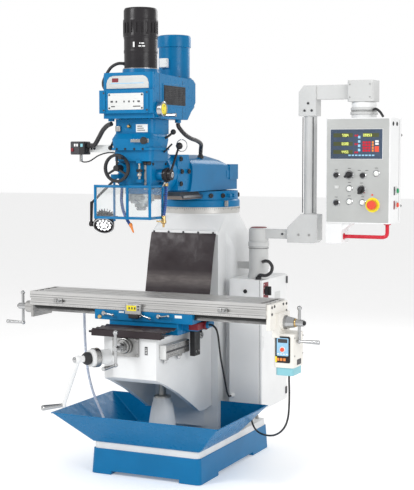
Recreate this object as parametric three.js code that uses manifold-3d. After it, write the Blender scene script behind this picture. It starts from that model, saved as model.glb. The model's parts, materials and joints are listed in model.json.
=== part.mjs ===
// Knee-type turret milling machine with a panel on a swing arm.
// Millimetres, +Z up, +X along the table to the operator's right, the operator stands at -Y.
// The origin is the middle of the base's underside, on the floor.
import * as THREE from "three";
import { mergeVertices } from "three/addons/utils/BufferGeometryUtils.js";
import Module from "manifold-3d";

const wasm = await Module();
wasm.setup();

// ---- driving dimensions ----
const GAP = 0.35;
const WELD = 1e-3;
const SIDES = 12;
const BASE = { halfX: 323, halfY: 465, height: 170, plinth: 135, draft: 8, bandInset: 14, corner: 25 };
const FOOT = { x: 115, y: 230, relief: 18, padX: [-100, 30], padY: [-40, 40] };
const TRAY = { floorX: 315, floorY: [-457, 58], rimX: 485, rimY: [-600, 58], rimZ: 335, sheet: 5 };
const COLUMN = { slabX: 202, slabY: [20, 150], bodyX: 250, bodyY: [130, 455], corner: 45 };
const COLUMN_Z = { body: 1180, slab: 1270, neck: 1355, top: 1365 };
const RAIL = { backX: 110, frontX: 135, depth: 35, z: [200, 1140], clear: 0.6 };
const TURRET = { y: 235, r: 214, ring: 217, ringTop: 1400, flange: 1440, top: 1487, headR: 207 };
const RAM = { halfX: 130, front: -149, back: 440, bottom: 1492, shoulder: 1627, rise: 62 };
const DOVETAIL = { topX: 70, bottomX: 95, bottom: 1450, y: [-195, 430] };
const NOD = { y: -350, z: 1595, r: 200 };
const SPINDLE_Y = -485;
const MOTOR_Y = -105;
const KNEE = { halfX: 162, front: -638, top: 767, wall: 24, roof: 655 };
const SCREW = { y: -255, r: 20, bore: 24, bottom: 185 };
const SADDLE = { halfX: 284, bodyX: 200, y: [-478, -210], z: [828, 880.5], seat: 767.4 };
const TABLE = { halfX: 685, y: [-478, -224], z: [882, 956], slot: 16, slotPitch: 63.5 };
const FEED = { y: -351, z: 854, r: 13 };
const CABINET = { x: [250.4, 439], y: [60, 461], z: [294, 1015], door: 12 };
const POST = { x: 393, y: 135, r: 53, top: 1222 };
const ARM = { z: [1230, 1292], riserX: 690, riserR: 34, top: [1978, 2052] };
const GUARD = { z: [1369, 1528], r: 7, post: [-112, -566], pin: 6, lug: 1566 };
const BOX = { x: [812, 1156], y: [34, 240], z: [1333, 1877] };

// ---- paints and metals ----
const finish = (color, roughness, metalness = 0) =>
  new THREE.MeshStandardMaterial({ color, roughness, metalness, flatShading: true });
const BLUE = finish(0x0f6fb4, 0.42);
const GREY = finish(0xdfe1e2, 0.45);
const STEEL = finish(0xa9a9a6, 0.35, 0.85);
const CHROME = finish(0xd8dadb, 0.15, 1);
const BLACK = finish(0x1a1a1c, 0.5);
const RUBBER = finish(0x2b2527, 0.7);
const CLEAR = new THREE.MeshStandardMaterial({ color: 0xdfe9ee, transparent: true, opacity: 0.3 });
const CREAM = finish(0xe3ddcf, 0.5);
const CYAN = finish(0x8fc4cf, 0.5);
const RED = finish(0xc8102e, 0.4);
const GREEN = finish(0x1c9a4b, 0.4);
const HOSE_BLUE = finish(0x1e4f8f, 0.5);
const HOSE_CLEAR = finish(0xb9c9dc, 0.3);

// ---- geometry helpers ----
const at = (x, y, z) => new THREE.Vector3(x, y, z);

function solidOf(geometry) {
  const bare = new THREE.BufferGeometry();
  const source = geometry.index ? geometry.toNonIndexed() : geometry;
  bare.setAttribute("position", source.getAttribute("position"));
  const merged = mergeVertices(bare, WELD);
  const vertProperties = merged.attributes.position.array;
  const triVerts = new Uint32Array(merged.index.array);
  return new wasm.Manifold(new wasm.Mesh({ numProp: 3, vertProperties, triVerts }));
}

function geometryOf(solid) {
  const mesh = solid.getMesh();
  const geometry = new THREE.BufferGeometry();
  geometry.setAttribute("position", new THREE.BufferAttribute(mesh.vertProperties, 3));
  geometry.setIndex(new THREE.BufferAttribute(mesh.triVerts, 1));
  return geometry;
}

function join(...pieces) {
  return geometryOf(pieces.map(solidOf).reduce((whole, piece) => whole.add(piece)));
}

function cut(body, ...tools) {
  return geometryOf(tools.map(solidOf).reduce((rest, tool) => rest.subtract(tool), solidOf(body)));
}

function block([x0, x1], [y0, y1], [z0, z1]) {
  const box = new THREE.BoxGeometry(x1 - x0, y1 - y0, z1 - z0);
  return box.translate((x0 + x1) / 2, (y0 + y1) / 2, (z0 + z1) / 2);
}

// A round bar, or a cone frustum when r1 differs, between two points.
function bar(from, to, r0, r1 = r0, sides = SIDES) {
  const [a, b] = [at(...from), at(...to)];
  const axis = b.clone().sub(a);
  const shape = new THREE.CylinderGeometry(r1, r0, axis.length(), sides);
  const turn = new THREE.Quaternion().setFromUnitVectors(at(0, 1, 0), axis.clone().normalize());
  return shape.applyQuaternion(turn).translate(...a.add(b).multiplyScalar(0.5).toArray());
}

function ball([x, y, z], r) {
  return new THREE.SphereGeometry(r, 8, 5).translate(x, y, z);
}

// A turned piece: profile is [radius, height] pairs, upright on the point foot.
function turned(profile, foot, sides = 20) {
  const points = profile.map(([r, h]) => new THREE.Vector2(r, h));
  const lathe = new THREE.LatheGeometry(points, sides).rotateX(Math.PI / 2);
  return lathe.translate(...foot);
}

const FRAMES = {
  x: new THREE.Matrix4().makeBasis(at(0, 1, 0), at(0, 0, 1), at(1, 0, 0)),
  y: new THREE.Matrix4().makeBasis(at(1, 0, 0), at(0, 0, 1), at(0, -1, 0)),
  z: new THREE.Matrix4(),
};

// An outline in the plane square to the axis, extruded along that axis from low to high.
function prism(axis, outline, [low, high]) {
  const shape = new THREE.Shape(outline.map(([u, v]) => new THREE.Vector2(u, v)));
  const solid = new THREE.ExtrudeGeometry(shape, { depth: high - low, bevelEnabled: false });
  solid.applyMatrix4(FRAMES[axis]);
  const shift = { x: [low, 0, 0], y: [0, high, 0], z: [0, 0, low] };
  return solid.translate(...shift[axis]);
}

// Points round a rectangle with round corners, anticlockwise.
function roundRect([x0, x1], [y0, y1], r, steps = 4) {
  const centres = [[x1 - r, y1 - r], [x0 + r, y1 - r], [x0 + r, y0 + r], [x1 - r, y0 + r]];
  return centres.flatMap(([cx, cy], corner) =>
    Array.from({ length: steps + 1 }, (_, i) => {
      const turn = ((corner + i / steps) * Math.PI) / 2;
      return [cx + r * Math.cos(turn), cy + r * Math.sin(turn)];
    }),
  );
}

// Skins rings of equal point count, given as arrays of [x, y, z], and caps both ends.
function loft(rings) {
  const count = rings[0].length;
  const index = [];
  rings.slice(1).forEach((_, level) => {
    for (let i = 0; i < count; i++) {
      const [a, b] = [level * count + i, level * count + ((i + 1) % count)];
      index.push(a, b, b + count, a, b + count, a + count);
    }
  });
  const last = (rings.length - 1) * count;
  for (let i = 1; i < count - 1; i++) {
    index.push(0, i + 1, i);
    index.push(last, last + i, last + i + 1);
  }
  const geometry = new THREE.BufferGeometry();
  geometry.setAttribute("position", new THREE.Float32BufferAttribute(rings.flat(2), 3));
  geometry.setIndex(index);
  return geometry;
}

const ringAt = (outline, z) => outline.map(([x, y]) => [x, y, z]);

function pillar(xs, ys, [z0, z1], r, steps = 3) {
  return prism("z", roundRect(xs, ys, r, steps), [z0, z1]);
}

// A tube along a smooth curve through the points.
function hose(points, r, steps, sides = 8) {
  const section = Array.from({ length: sides }, (_, i) => (i * 2 * Math.PI) / sides);
  const shape = new THREE.Shape(section.map((t) => new THREE.Vector2(r * Math.cos(t), r * Math.sin(t))));
  const extrudePath = new THREE.CatmullRomCurve3(points.map((p) => at(...p)), false, "centripetal");
  return new THREE.ExtrudeGeometry(shape, { steps, bevelEnabled: false, extrudePath });
}

const machine = new THREE.Group();

function add(name, material, geometry) {
  const mesh = new THREE.Mesh(geometry, material);
  mesh.name = name;
  machine.add(mesh);
}

// ---- routes of the cables and hoses that hang free ----
const DRAIN_ROUTE = [[-517, -193, 872 - GAP], [-517, -193, 840], [-516, -193, 780], [-514, -194, 710], [-509, -196, 630],
  [-500, -200, 550], [-484, -207, 475], [-460, -218, 410], [-430, -232, 355], [-400, -245, 310], [-372, -256, 270],
  [-352, -263, 238]];
const SADDLE_ROUTE = [[310 + GAP, -330, 812], [325, -330, 812], [340, -328, 803], [349, -322, 786], [352, -312, 760],
  [350, -296, 720], [345, -272, 670], [338, -240, 615], [330, -200, 560], [320, -155, 500], [306, -105, 450],
  [292, -60, 412], [281, -18, 386], [273, 12, 373], [272, 34, 372]];
const FEED_ROUTE = [[745, -310, 578 - GAP], [745, -310, 550], [746, -308, 500], [743, -302, 430], [733, -288, 365],
  [710, -264, 312], [670, -224, 268], [615, -168, 232], [552, -102, 208], [490, -38, 196], [435, 22, 194],
  [393, 76, 202], [366, 112, 222], [351, 140, 248], [350, 142, 270]];

// ---- base, tray and column ----
function baseCasting() {
  const { halfX, halfY, height, plinth, draft, bandInset, corner } = BASE;
  const ring = (inset, z) =>
    ringAt(roundRect([inset - halfX, halfX - inset], [inset - halfY, halfY - inset], corner, 3), z);
  const body = loft([ring(0, 0), ring(draft, plinth), ring(bandInset, plinth), ring(bandInset, height)]);
  const reliefX = [FOOT.x - halfX + draft, halfX - FOOT.x - draft];
  const across = block(reliefX, [-halfY - 1, halfY + 1], [-1, FOOT.relief]);
  const along = block([-halfX - 1, halfX + 1], [FOOT.y - halfY, halfY - FOOT.y], [-1, FOOT.relief]);
  const screwPit = bar([0, SCREW.y, 40], [0, SCREW.y, height + 1], SCREW.bore + 2);
  const middlePad = block(FOOT.padX, FOOT.padY, [0, FOOT.relief + 2]);
  return join(cut(body, across, along, screwPit), middlePad);
}

function coolantTray() {
  const { floorX, floorY, rimX, rimY, rimZ, sheet } = TRAY;
  const floorZ = BASE.height + GAP;
  const rect = (x, [y0, y1], z) => ringAt(roundRect([-x, x], [y0, y1], 12, 2), z);
  const outer = loft([rect(floorX, floorY, floorZ), rect(rimX, rimY, rimZ)]);
  const innerY = (ys) => [ys[0] + sheet, ys[1] - sheet];
  const inner = loft([
    rect(floorX, innerY(floorY), floorZ + sheet),
    rect(rimX - sheet, innerY(rimY), rimZ + 1),
  ]);
  const notchX = [-COLUMN.slabX - 1, COLUMN.slabX + 1];
  const columnNotch = block(notchX, [COLUMN.slabY[0] - 1, rimY[1] + 1], [floorZ - 1, rimZ + 2]);
  const pedestalHole = bar([0, SCREW.y, floorZ - 1], [0, SCREW.y, floorZ + sheet + 1], 73, 73, 32);
  return cut(outer, inner, columnNotch, pedestalHole);
}

function column() {
  const { slabX, slabY, bodyX, bodyY, corner } = COLUMN;
  const { body, slab, neck, top } = COLUMN_Z;
  const foot = BASE.height + GAP;
  const neckOutline = roundRect(
    [-TURRET.r, TURRET.r],
    [TURRET.y - TURRET.r, TURRET.y + TURRET.r],
    TURRET.r - 1,
    7,
  );
  const rear = roundRect([-bodyX, bodyX], bodyY, corner, 7);
  const rearBody = loft([
    ringAt(rear, foot),
    ringAt(rear, body),
    ringAt(neckOutline, neck),
    ringAt(neckOutline, top),
  ]);
  const slabBody = block([-slabX, slabX], slabY, [foot, slab]);
  const shoulderFoot = roundRect([-slabX, slabX], [slabY[0], 320], 4, 7);
  const shoulder = loft([ringAt(shoulderFoot, slab - 4), ringAt(neckOutline, neck + 2)]);
  const rail = prism("z", railOutline(0, slabY[0] + 5), RAIL.z);
  return join(rearBody, slabBody, shoulder, rail);
}

// The column's dovetail slideway in plan, grown by a clearance for the knee's groove.
function railOutline(clear, back) {
  const front = COLUMN.slabY[0] - RAIL.depth - clear;
  const [b, f] = [RAIL.backX + clear, RAIL.frontX + clear];
  return [[-b, back], [-b, COLUMN.slabY[0]], [-f, front], [f, front], [b, COLUMN.slabY[0]], [b, back]];
}

function screwPedestal() {
  const profile = [
    [SCREW.bore, BASE.height + GAP],
    [72, BASE.height + GAP],
    [72, 265],
    [63, 324],
    [48, 392],
    [45, 397],
    [SCREW.bore, 397],
    [SCREW.bore, BASE.height + GAP],
  ];
  return turned(profile, [0, SCREW.y, 0]);
}

function degreeRing() {
  const low = COLUMN_Z.top + GAP;
  const { y, ring, ringTop } = TURRET;
  return turned([[0, low], [ring, low], [ring, ringTop], [0, ringTop]], [0, y, 0], 40);
}

// The rubber apron: a bar on the column face, a slanting sheet, then a sheet hanging behind the table.
function wayCover() {
  const thick = 4;
  const line = [[14, 1266], [-29, 1124], [-69, 941], [-84, 800]];
  const front = line.map(([y, z]) => [y - thick, z]);
  const sheet = prism("x", [...line, ...front.reverse()], [-196, 196]);
  const topBar = block([-199, 199], [4, COLUMN.slabY[0] - GAP], [1252, 1274]);
  return join(sheet, topBar);
}

// ---- electrical cabinet ----
function cabinet() {
  const { x, y, z, door } = CABINET;
  const shell = block([x[0], x[1] - door], y, z);
  const inside = block([x[0] + 12, x[1] - door + 1], [y[0] + 12, y[1] - 12], [z[0] + 12, z[1] - 12]);
  const frontGland = bar([272, y[0] + 1, 372], [272, y[0] - 24, 372], 13, 10, 12);
  const underGland = bar([350, 142, z[0] + 1], [350, 142, z[0] - 22], 13, 10, 12);
  return join(cut(shell, inside), frontGland, underGland);
}

function cabinetDoor() {
  const { x, y, z, door } = CABINET;
  const leaf = block([x[1] - door + 1.2, x[1] + 3], [y[0] + 3, y[1] - 14], [z[0] + 4, z[1] - 4]);
  const latch = block([x[1] + 2, x[1] + 9], [y[0] + 14, y[0] + 34], [640, 700]);
  return join(leaf, latch);
}

function mainSwitch() {
  const face = CABINET.x[1] + 3 + GAP;
  const dial = bar([face, 120, 950], [face + 14, 120, 950], 26, 24);
  const grip = block([face + 12, face + 30], [114, 126], [926, 974]);
  return join(dial, grip);
}

// ---- turret, ram and knuckle ----
function turretPlate() {
  const { y, ring, ringTop, flange, top, headR } = TURRET;
  const low = ringTop + GAP;
  const profile = [[0, low], [ring, low], [ring, flange - 6], [ring - 6, flange], [headR, flange], [headR, top], [0, top]];
  const groove = prism("y", dovetailOutline(0.6, top + 3), [-100, 600]);
  const lockBolts = [-70, -20].map((dy) =>
    bar([headR - 60, y + dy, 1463], [headR + 8, y + dy, 1463], 11, 11, 10));
  return join(cut(turned(profile, [0, y, 0], 40), groove), ...lockBolts);
}

// The ram's dovetail seen end on.
function dovetailOutline(clear, top) {
  const [t, b] = [DOVETAIL.topX + clear, DOVETAIL.bottomX + clear];
  const low = DOVETAIL.bottom - clear;
  return [[-t, top], [-t, TURRET.top], [-b, low], [b, low], [t, TURRET.top], [t, top]];
}

function ram() {
  const { halfX, front, back, bottom, shoulder, rise } = RAM;
  const arc = 8;
  const section = (y, height, hump) => {
    const crown = Array.from({ length: arc + 1 }, (_, i) => {
      const turn = (i * Math.PI) / arc;
      return [halfX * Math.cos(turn), y, height + hump * Math.sin(turn)];
    });
    return [[-halfX, y, bottom], [halfX, y, bottom], ...crown].reverse();
  };
  const body = loft([
    section(front - 66, shoulder, rise),
    section(170, shoulder, rise - 2),
    section(270, shoulder - 2, 46),
    section(350, shoulder - 6, 14),
    section(back, shoulder - 12, 8),
  ]);
  const tail = block([-halfX - 5, halfX + 5], [back - 112, back + 5], [1549, 1634]);
  const dovetail = prism("y", dovetailOutline(0, bottom + 4), DOVETAIL.y);
  const knuckleSeat = bar([-halfX - 9, NOD.y, NOD.z], [halfX + 9, NOD.y, NOD.z], NOD.r + 0.5, NOD.r + 0.5, 48);
  return cut(join(body, tail, dovetail), knuckleSeat);
}

function ramAdapter() {
  const halfX = 118;
  const top = 1688;
  const drum = bar([-halfX, NOD.y, NOD.z], [halfX, NOD.y, NOD.z], NOD.r, NOD.r, 48);
  const window = block([-halfX - 1, halfX + 1], [-303, -100], [1501, top]);
  const body = geometryOf(solidOf(drum).intersect(solidOf(window)));
  const bolts = [[-285, 1666], [-273, 1600], [-190, 1600], [-284, 1536]].map(([y, z]) =>
    bar([halfX - 4, y, z], [halfX + 8, y, z], 12, 12, 10));
  return join(body, ...bolts);
}

// ---- milling head ----
function headCasting() {
  const neck = pillar([-112, 112], [-572, -368], [1792, 1866], 34);
  const gear = loft([
    ringAt(roundRect([-112, 112], [-606, -380], 46, 5), 1722),
    ringAt(roundRect([-118, 118], [-612, -372], 48, 5), 1765),
    ringAt(roundRect([-108, 108], [-590, -372], 44, 5), 1793),
  ]);
  const gearFlange = pillar([-122, 122], [-606, -372], [1710, 1722.5], 46, 5);
  const shelf = pillar([-110, 110], [-588, -372], [1655, 1711], 38, 4);
  const quillBarrel = bar([0, SPINDLE_Y, 1490], [0, SPINDLE_Y, 1660], 82, 82, 24);
  const rightCheek = pillar([10, 96], [-560, -372], [1500, 1660], 16);
  const leftCheek = pillar([-104, -36], [-545, -372], [1530, 1660], 16);
  const rearFlange = bar([0, -385, NOD.z], [0, -303.5, NOD.z], 118, 118, 24);
  const feedBoss = bar([-62, -540, 1620], [-62, -590, 1620], 26);
  const leverBoss = bar([90, -489, 1586], [132, -489, 1586], 30);
  const guardLug = block([-124, -80], [-580, -480], [GUARD.lug, GUARD.lug + 22]);
  const guardPost = bar([...GUARD.post, 1350], [...GUARD.post, GUARD.lug + 2], GUARD.pin, GUARD.pin, 12);
  const stopFoot = block([28, 54], [-590, -556], [1548, 1564]);
  const stopHead = block([28, 54], [-592, -570], [1645, 1662]);
  const lampClamp = block([-131, -100], [-470, -430], [1560, 1600]);
  const body = join(neck, gear, gearFlange, shelf, quillBarrel, rightCheek, leftCheek, rearFlange, feedBoss,
    leverBoss, guardLug, guardPost, stopFoot, stopHead, lampClamp);
  const quillBore = bar([0, SPINDLE_Y, 1480], [0, SPINDLE_Y, 1700], 56, 56, 24);
  return cut(body, quillBore);
}

// Underside glands for the black conduits: the middle of each gland's lower face.
const HOUSING_GLANDS = [[-130, -560, 1856], [118, -300, 1852]];

function beltHousing() {
  const side = [[-613, 1868], [-239, 1868], [-143, 1961], [-143, 2061], [-172, 2080], [-600, 2092], [-613, 2084]];
  const upper = prism("x", side, [-144, 144]);
  const frontPanel = block([-151, 151], [-646, -610], [1893, 2008]);
  const cover = pillar([-144, 144], [-624, -560], [1868, 2096], 20, 3);
  const deck = bar([0, SPINDLE_Y, 2080], [0, SPINDLE_Y, 2118], 96, 92, 24);
  const speedBoss = bar([140, -585, 1913], [158, -585, 1913], 40);
  const motorSeat = bar([0, MOTOR_Y, 2050], [0, MOTOR_Y, 2086], 92, 92, 24);
  const glands = HOUSING_GLANDS.map(([x, y, z]) => bar([x, y, z], [x, y, 1872], 16, 16, 12));
  const hoseGland = bar([-140, -540, 2020], [-156, -540, 2020], 12, 12, 12);
  const rearRound = bar([0, MOTOR_Y, 1940], [0, MOTOR_Y, 2078], 108, 108, 24);
  const rearTaper = bar([0, MOTOR_Y, 1892], [0, MOTOR_Y, 1940], 72, 108, 24);
  return join(upper, rearRound, rearTaper, frontPanel, cover, deck, speedBoss, motorSeat, hoseGland, ...glands);
}

function drawbarUnit() {
  const low = 2118 + GAP;
  const profile = [[0, low], [82, low], [86, 2128], [86, 2190], [88, 2194], [88, 2246], [90, 2250], [90, 2316],
    [86, 2322], [86, 2408], [80, 2425], [0, 2425]];
  return turned(profile, [0, SPINDLE_Y, 0], 28);
}

function driveMotor() {
  const low = 2086 + GAP;
  const profile = [[0, low], [83, low], [83, 2256], [89, 2258], [89, 2308], [84, 2318], [0, 2320]];
  return turned(profile, [0, MOTOR_Y, 0], 24);
}

function quill() {
  const sleeve = [[17, 1440], [52, 1440], [55, 1446], [55, 1690], [17, 1690], [17, 1440]];
  const collar = [[54, 1452], [66, 1452], [66, 1486], [54, 1486], [54, 1452]];
  const stopArm = block([34, 48], [-584, -530], [1462, 1476]);
  return join(turned(sleeve, [0, SPINDLE_Y, 0]), turned(collar, [0, SPINDLE_Y, 0]), stopArm);
}

function spindle() {
  const profile = [[0, 1404], [22, 1404], [24, 1408], [24, 1420], [34, 1422], [34, 1439.6], [16.6, 1439.6],
    [16.6, 1680], [0, 1680]];
  return turned(profile, [0, SPINDLE_Y, 0], 24);
}

function depthStopScrew() {
  const screw = bar([41, -581, 1564 + GAP], [41, -581, 1645 - GAP], 6, 6, 10);
  const nut = bar([41, -581, 1580], [41, -581, 1594], 12, 12, 10);
  return join(screw, nut);
}

function quillFeedLever() {
  const hub = bar([132 + GAP, -489, 1586], [176, -489, 1586], 30, 28, 20);
  const arm = bar([166, -489, 1586], [182, -424, 1722], 6.5, 5.5, 10);
  return join(hub, arm, ball([184, -418, 1732], 19));
}

function fineFeedHandwheel() {
  const [x, z, front] = [-62, 1620, -628];
  const rim = turned([[60, -8], [72, -8], [74, 0], [72, 8], [60, 8], [58, 0], [60, -8]], [0, 0, 0], 24);
  rim.rotateX(Math.PI / 2).translate(x, front, z);
  const hub = bar([x, -590 - GAP, z], [x, front - 12, z], 17, 15, 16);
  const spokes = [90, 210, 330].map((degrees) => {
    const turn = THREE.MathUtils.degToRad(degrees);
    const tip = [x + 64 * Math.cos(turn), front, z + 64 * Math.sin(turn)];
    return bar([x, front, z], tip, 6, 6, 8);
  });
  const handle = bar([x + 40, front - 6, z + 52], [x + 40, front - 44, z + 52], 6, 9, 10);
  return join(rim, hub, ...spokes, handle);
}

function speedHandwheel() {
  const [y, z, face] = [-585, 1913, 158 + GAP];
  const dish = bar([face, y, z], [face + 22, y, z], 37, 35, 24);
  const crank = bar([face + 16, y, z - 30], [face + 90, y, z - 30], 7, 10, 10);
  return join(dish, crank);
}

function rangeLever() {
  const [x, y, z] = [100, -612 - GAP, 1757];
  const hub = bar([x, y - 4, z], [x, y - 24, z], 15, 13, 14);
  const arm = block([x - 84, x], [y - 16, y - 8], [z - 8, z + 8]);
  return join(hub, arm);
}

// ---- guard, lamp and hoses on the head ----
const GUARD_PLAN = [[-204, -600], [-16, -604], [110, -602], [112, -470]];

function guardFrame() {
  const [low, high] = GUARD.z;
  const postR = GUARD.r + 0.5;
  const posts = GUARD_PLAN.map(([x, y]) =>
    bar([x, y, low - GUARD.r], [x, y, high + GUARD.r], postR, postR, 8));
  const rails = GUARD_PLAN.slice(1).flatMap(([x, y], i) => {
    const [px, py] = GUARD_PLAN[i];
    return [low, high].map((z) => bar([px, py, z], [x, y, z], GUARD.r, GUARD.r, 8));
  });
  const [hx, hy] = GUARD.post;
  const bore = GUARD.pin + 0.4;
  const lugs = [low, high].map((z) => {
    const lug = block([hx - 13, hx + 13], [-602, hy + 13], [z - 7, z + 7]);
    return cut(lug, bar([hx, hy, z - 9], [hx, hy, z + 9], bore, bore, 12));
  });
  return join(...posts, ...rails, ...lugs);
}

function guardPane(first) {
  const [low, high] = GUARD.z;
  const [a, b] = [at(...GUARD_PLAN[first], 0), at(...GUARD_PLAN[first + 1], 0)];
  const along = b.clone().sub(a).normalize();
  const inset = GUARD.r + 1;
  const [p, q] = [a.addScaledVector(along, inset), b.addScaledVector(along, -inset)];
  const off = at(-along.y, along.x, 0).multiplyScalar(1.5);
  const corners = [[p, -1], [q, -1], [q, 1], [p, 1]].map(([end, side]) =>
    [end.x + side * off.x, end.y + side * off.y]);
  return prism("z", corners, [low + inset, high - inset]);
}

const LAMP = { lens: [-248, -440, 1316], aim: [0.25, -0.72, -0.64], r: 55 };

function lampHead() {
  const aim = at(...LAMP.aim).normalize();
  const point = (back) => at(...LAMP.lens).addScaledVector(aim, -back).toArray();
  const bezel = bar(point(0), point(26), LAMP.r, LAMP.r, 20);
  const core = bar(point(20), point(88), 28, 24, 12);
  const fins = [36, 52, 68].map((back) => bar(point(back), point(back + 6), 48 - back / 6, 48 - back / 6, 16));
  const [x, y, z] = point(13);
  const trunnion = bar([x - LAMP.r + 6, y, z], [x - LAMP.r - 12, y, z], 8, 8, 12);
  return join(bezel, core, trunnion, ...fins);
}

// The bent arm from the head to the lamp's side pivot.
function lampArm() {
  const aim = at(...LAMP.aim).normalize();
  const [px, y, z] = at(...LAMP.lens).addScaledVector(aim, -13).toArray();
  const x = px - LAMP.r - 12 - GAP;
  const ear = bar([x, y, z], [x - 16, y, z], 14, 14, 12);
  const knuckle = [x - 10, y + 6, z + 110];
  const stem = bar([x - 10, y, z], knuckle, 7, 9, 8);
  const top = [-150, -450, 1580];
  const boss = bar([-131 - GAP, -450, 1580], top, 16, 14, 12);
  return join(ear, stem, ball(knuckle, 10), bar(knuckle, top, 7, 7, 8), ball(top, 12), boss);
}

// A jointed hose on the head, with a nozzle at its end.
function coolantHose() {
  const tip = [-14, -568, 1325];
  const route = [[-88, -530, 1529], [-88, -530, 1502], [-82, -545, 1455], [-66, -556, 1405], [-42, -562, 1360], tip];
  return join(hose(route, 8, 20), bar(tip, [4, -574, 1290], 9, 4, 10));
}

function switchBox() {
  const body = block([-392, -306], [-532, -468], [1686, 1756]);
  const stem = bar([-346, -500, 1690], [-346, -500, 1652], 8, 8, 10);
  return join(body, stem, bar([-308, -500, 1735], [-290, -500, 1735], 15, 15, 12));
}

function switchConduit() {
  const [x, y, z] = HOUSING_GLANDS[0];
  return hose([[-289, -500, 1735], [-268, -500, 1736], [-236, -512, 1768], [-196, -532, 1812], [-158, -550, 1836],
    [x, y, z - 12]], 12, 16);
}

function drawbarHose() {
  return hose([[-90, -500, 2148], [-118, -510, 2150], [-150, -522, 2132], [-174, -530, 2096], [-190, -536, 2056],
    [-184, -539, 2030], [-172, -540, 2020], [-159, -540, 2020]], 8, 18);
}

function headConduit() {
  const [x, y, z] = HOUSING_GLANDS[1];
  return hose([[x, y, z - 2], [x + 2, y, z - 16], [132, -262, 1800], [136, -190, 1775], [132, -100, 1762],
    [118, -20, 1744], [98, 20, 1718], [90, 34, 1696]], 11, 20);
}

// ---- knee and its screws ----
const KNEE_SHAFT = { root: [-122, -615, 662], way: [-0.5, -0.8660254, 0] };

function onShaft(distance) {
  return at(...KNEE_SHAFT.root).addScaledVector(at(...KNEE_SHAFT.way), distance).toArray();
}

function knee() {
  const { halfX, front, top, wall, roof } = KNEE;
  const back = COLUMN.slabY[0] - GAP;
  const side = [[front, top], [front, 560], [-539, 522], [-390, 454], [-246, 375], [-135, 311], [-71, 304],
    [back, 314], [back, 862], [-40, 862], [-40, top]];
  const body = prism("x", side, [-halfX, halfX]);
  const hollow = [[-545, 290], [-545, 590], [-470, roof - 10], [-400, roof], [-70, roof], [-70, 290]];
  const cavity = prism("x", hollow, [wall - halfX, halfX - wall]);
  const groove = prism("z", railOutline(RAIL.clear, back + 5), [280, 880]);
  const chamfer = prism("z", [[-82, front - 1], [-163, -592], [-190, -592], [-190, front - 1]], [540, 790]);
  const way = prism("y", kneeWayOutline(0), [-606, -62]);
  const boss = bar(onShaft(-30), onShaft(60), 40, 36, 24);
  return join(cut(body, cavity, groove, chamfer), way, boss);
}

// The knee's upper dovetail seen end on, grown by a clearance for the saddle's groove.
function kneeWayOutline(clear) {
  const [foot, head] = [100 + clear, 120 + clear];
  const [low, high] = [KNEE.top - 2, KNEE.top + 22 + clear];
  return [[-foot, low], [foot, low], [head, high], [-head, high]];
}

function elevatingScrew() {
  return bar([0, SCREW.y, SCREW.bottom], [0, SCREW.y, KNEE.roof - GAP], SCREW.r, SCREW.r, 20);
}

function kneeCrank() {
  const dial = bar(onShaft(60 + GAP), onShaft(112), 46, 44, 20);
  const hub = bar(onShaft(108), onShaft(192), 17, 17, 16);
  const foot = onShaft(181);
  const tip = [foot[0] - 131.6, foot[1] + 76, foot[2] - 258];
  const gripEnd = at(...tip).addScaledVector(at(...KNEE_SHAFT.way), 118).toArray();
  const arm = bar(foot, tip, 15, 10, 12);
  return join(dial, hub, ball(foot, 21), arm, ball(tip, 15), bar(tip, gripEnd, 9, 14, 12));
}

function crossScrewBracket() {
  const face = KNEE.front - GAP;
  const plate = block([-82, 67], [face - 12, face], [673, 766]);
  const boss = bar([-7, face - 10, 727], [-7, face - 44, 727], 38, 34, 24);
  const hole = bar([-7, face - 60, 727], [-7, face - 26, 727], 14, 14, 16);
  return cut(join(plate, boss), hole);
}

function crossCrank() {
  const [x, z, y] = [-7, 727, KNEE.front - 34];
  const shaft = bar([x, y, z], [x, y - 88, z], 13, 13, 16);
  const hub = bar([x, y - 14, z], [x, y - 44, z], 24, 22, 20);
  const arm = bar([x, y - 78, z - 80], [x, y - 78, z + 76], 8, 8, 12);
  return join(shaft, hub, arm, ball([x, y - 78, z + 80], 14), ball([x, y - 78, z - 82], 12),
    bar([x, y - 78, z - 82], [x - 18, y - 172, z - 88], 7, 11, 12));
}

function yScale() {
  const wall = KNEE.halfX + GAP;
  const cover = block([wall, wall + 34], [-600, -330], [668, 732]);
  return join(cover, block([wall, wall + 26], [-330, -312], [676, 724]));
}

// ---- saddle ----
function saddle() {
  const { halfX, bodyX, y, z, seat } = SADDLE;
  const top = block([-halfX, halfX], y, z);
  const body = block([-bodyX, bodyX], [y[0] + 8, y[1]], [seat, z[0] + 1]);
  const wing = block([bodyX - 2, halfX], [y[0] + 60, y[1]], [787, z[0] + 1]);
  const gland = bar([halfX - 1, -330, 812], [halfX + 26, -330, 812], 21, 19, 16);
  const kneeWay = prism("y", kneeWayOutline(0.8), [-500, -190]);
  const tableWay = prism("x", tableDovetail(0.7, z[1] + 1), [-300, 300]);
  const nutGroove = block([-300, 300], [FEED.y - 20, FEED.y + 20], [FEED.z - 20, z[1] + 1]);
  const readerArm = block([203, 226], [-330, -270], [646, 790]);
  return join(cut(join(top, body, wing, gland), kneeWay, tableWay, nutGroove), readerArm);
}

// The table's dovetail seen end on.
function tableDovetail(clear, top) {
  const [low, neck] = [850 - clear, TABLE.z[0]];
  const [front, back] = [-440 - clear, -262 + clear];
  return [[front, top], [front, neck], [front - 12, low], [back + 12, low], [back, neck], [back, top]];
}

function frontWayCover() {
  const sheet = block([-198, 198], [-655, SADDLE.y[0] - GAP], [792, 798]);
  const rod = bar([-216, -655, 795], [216, -655, 795], 6, 6, 10);
  return join(sheet, rod);
}

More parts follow.
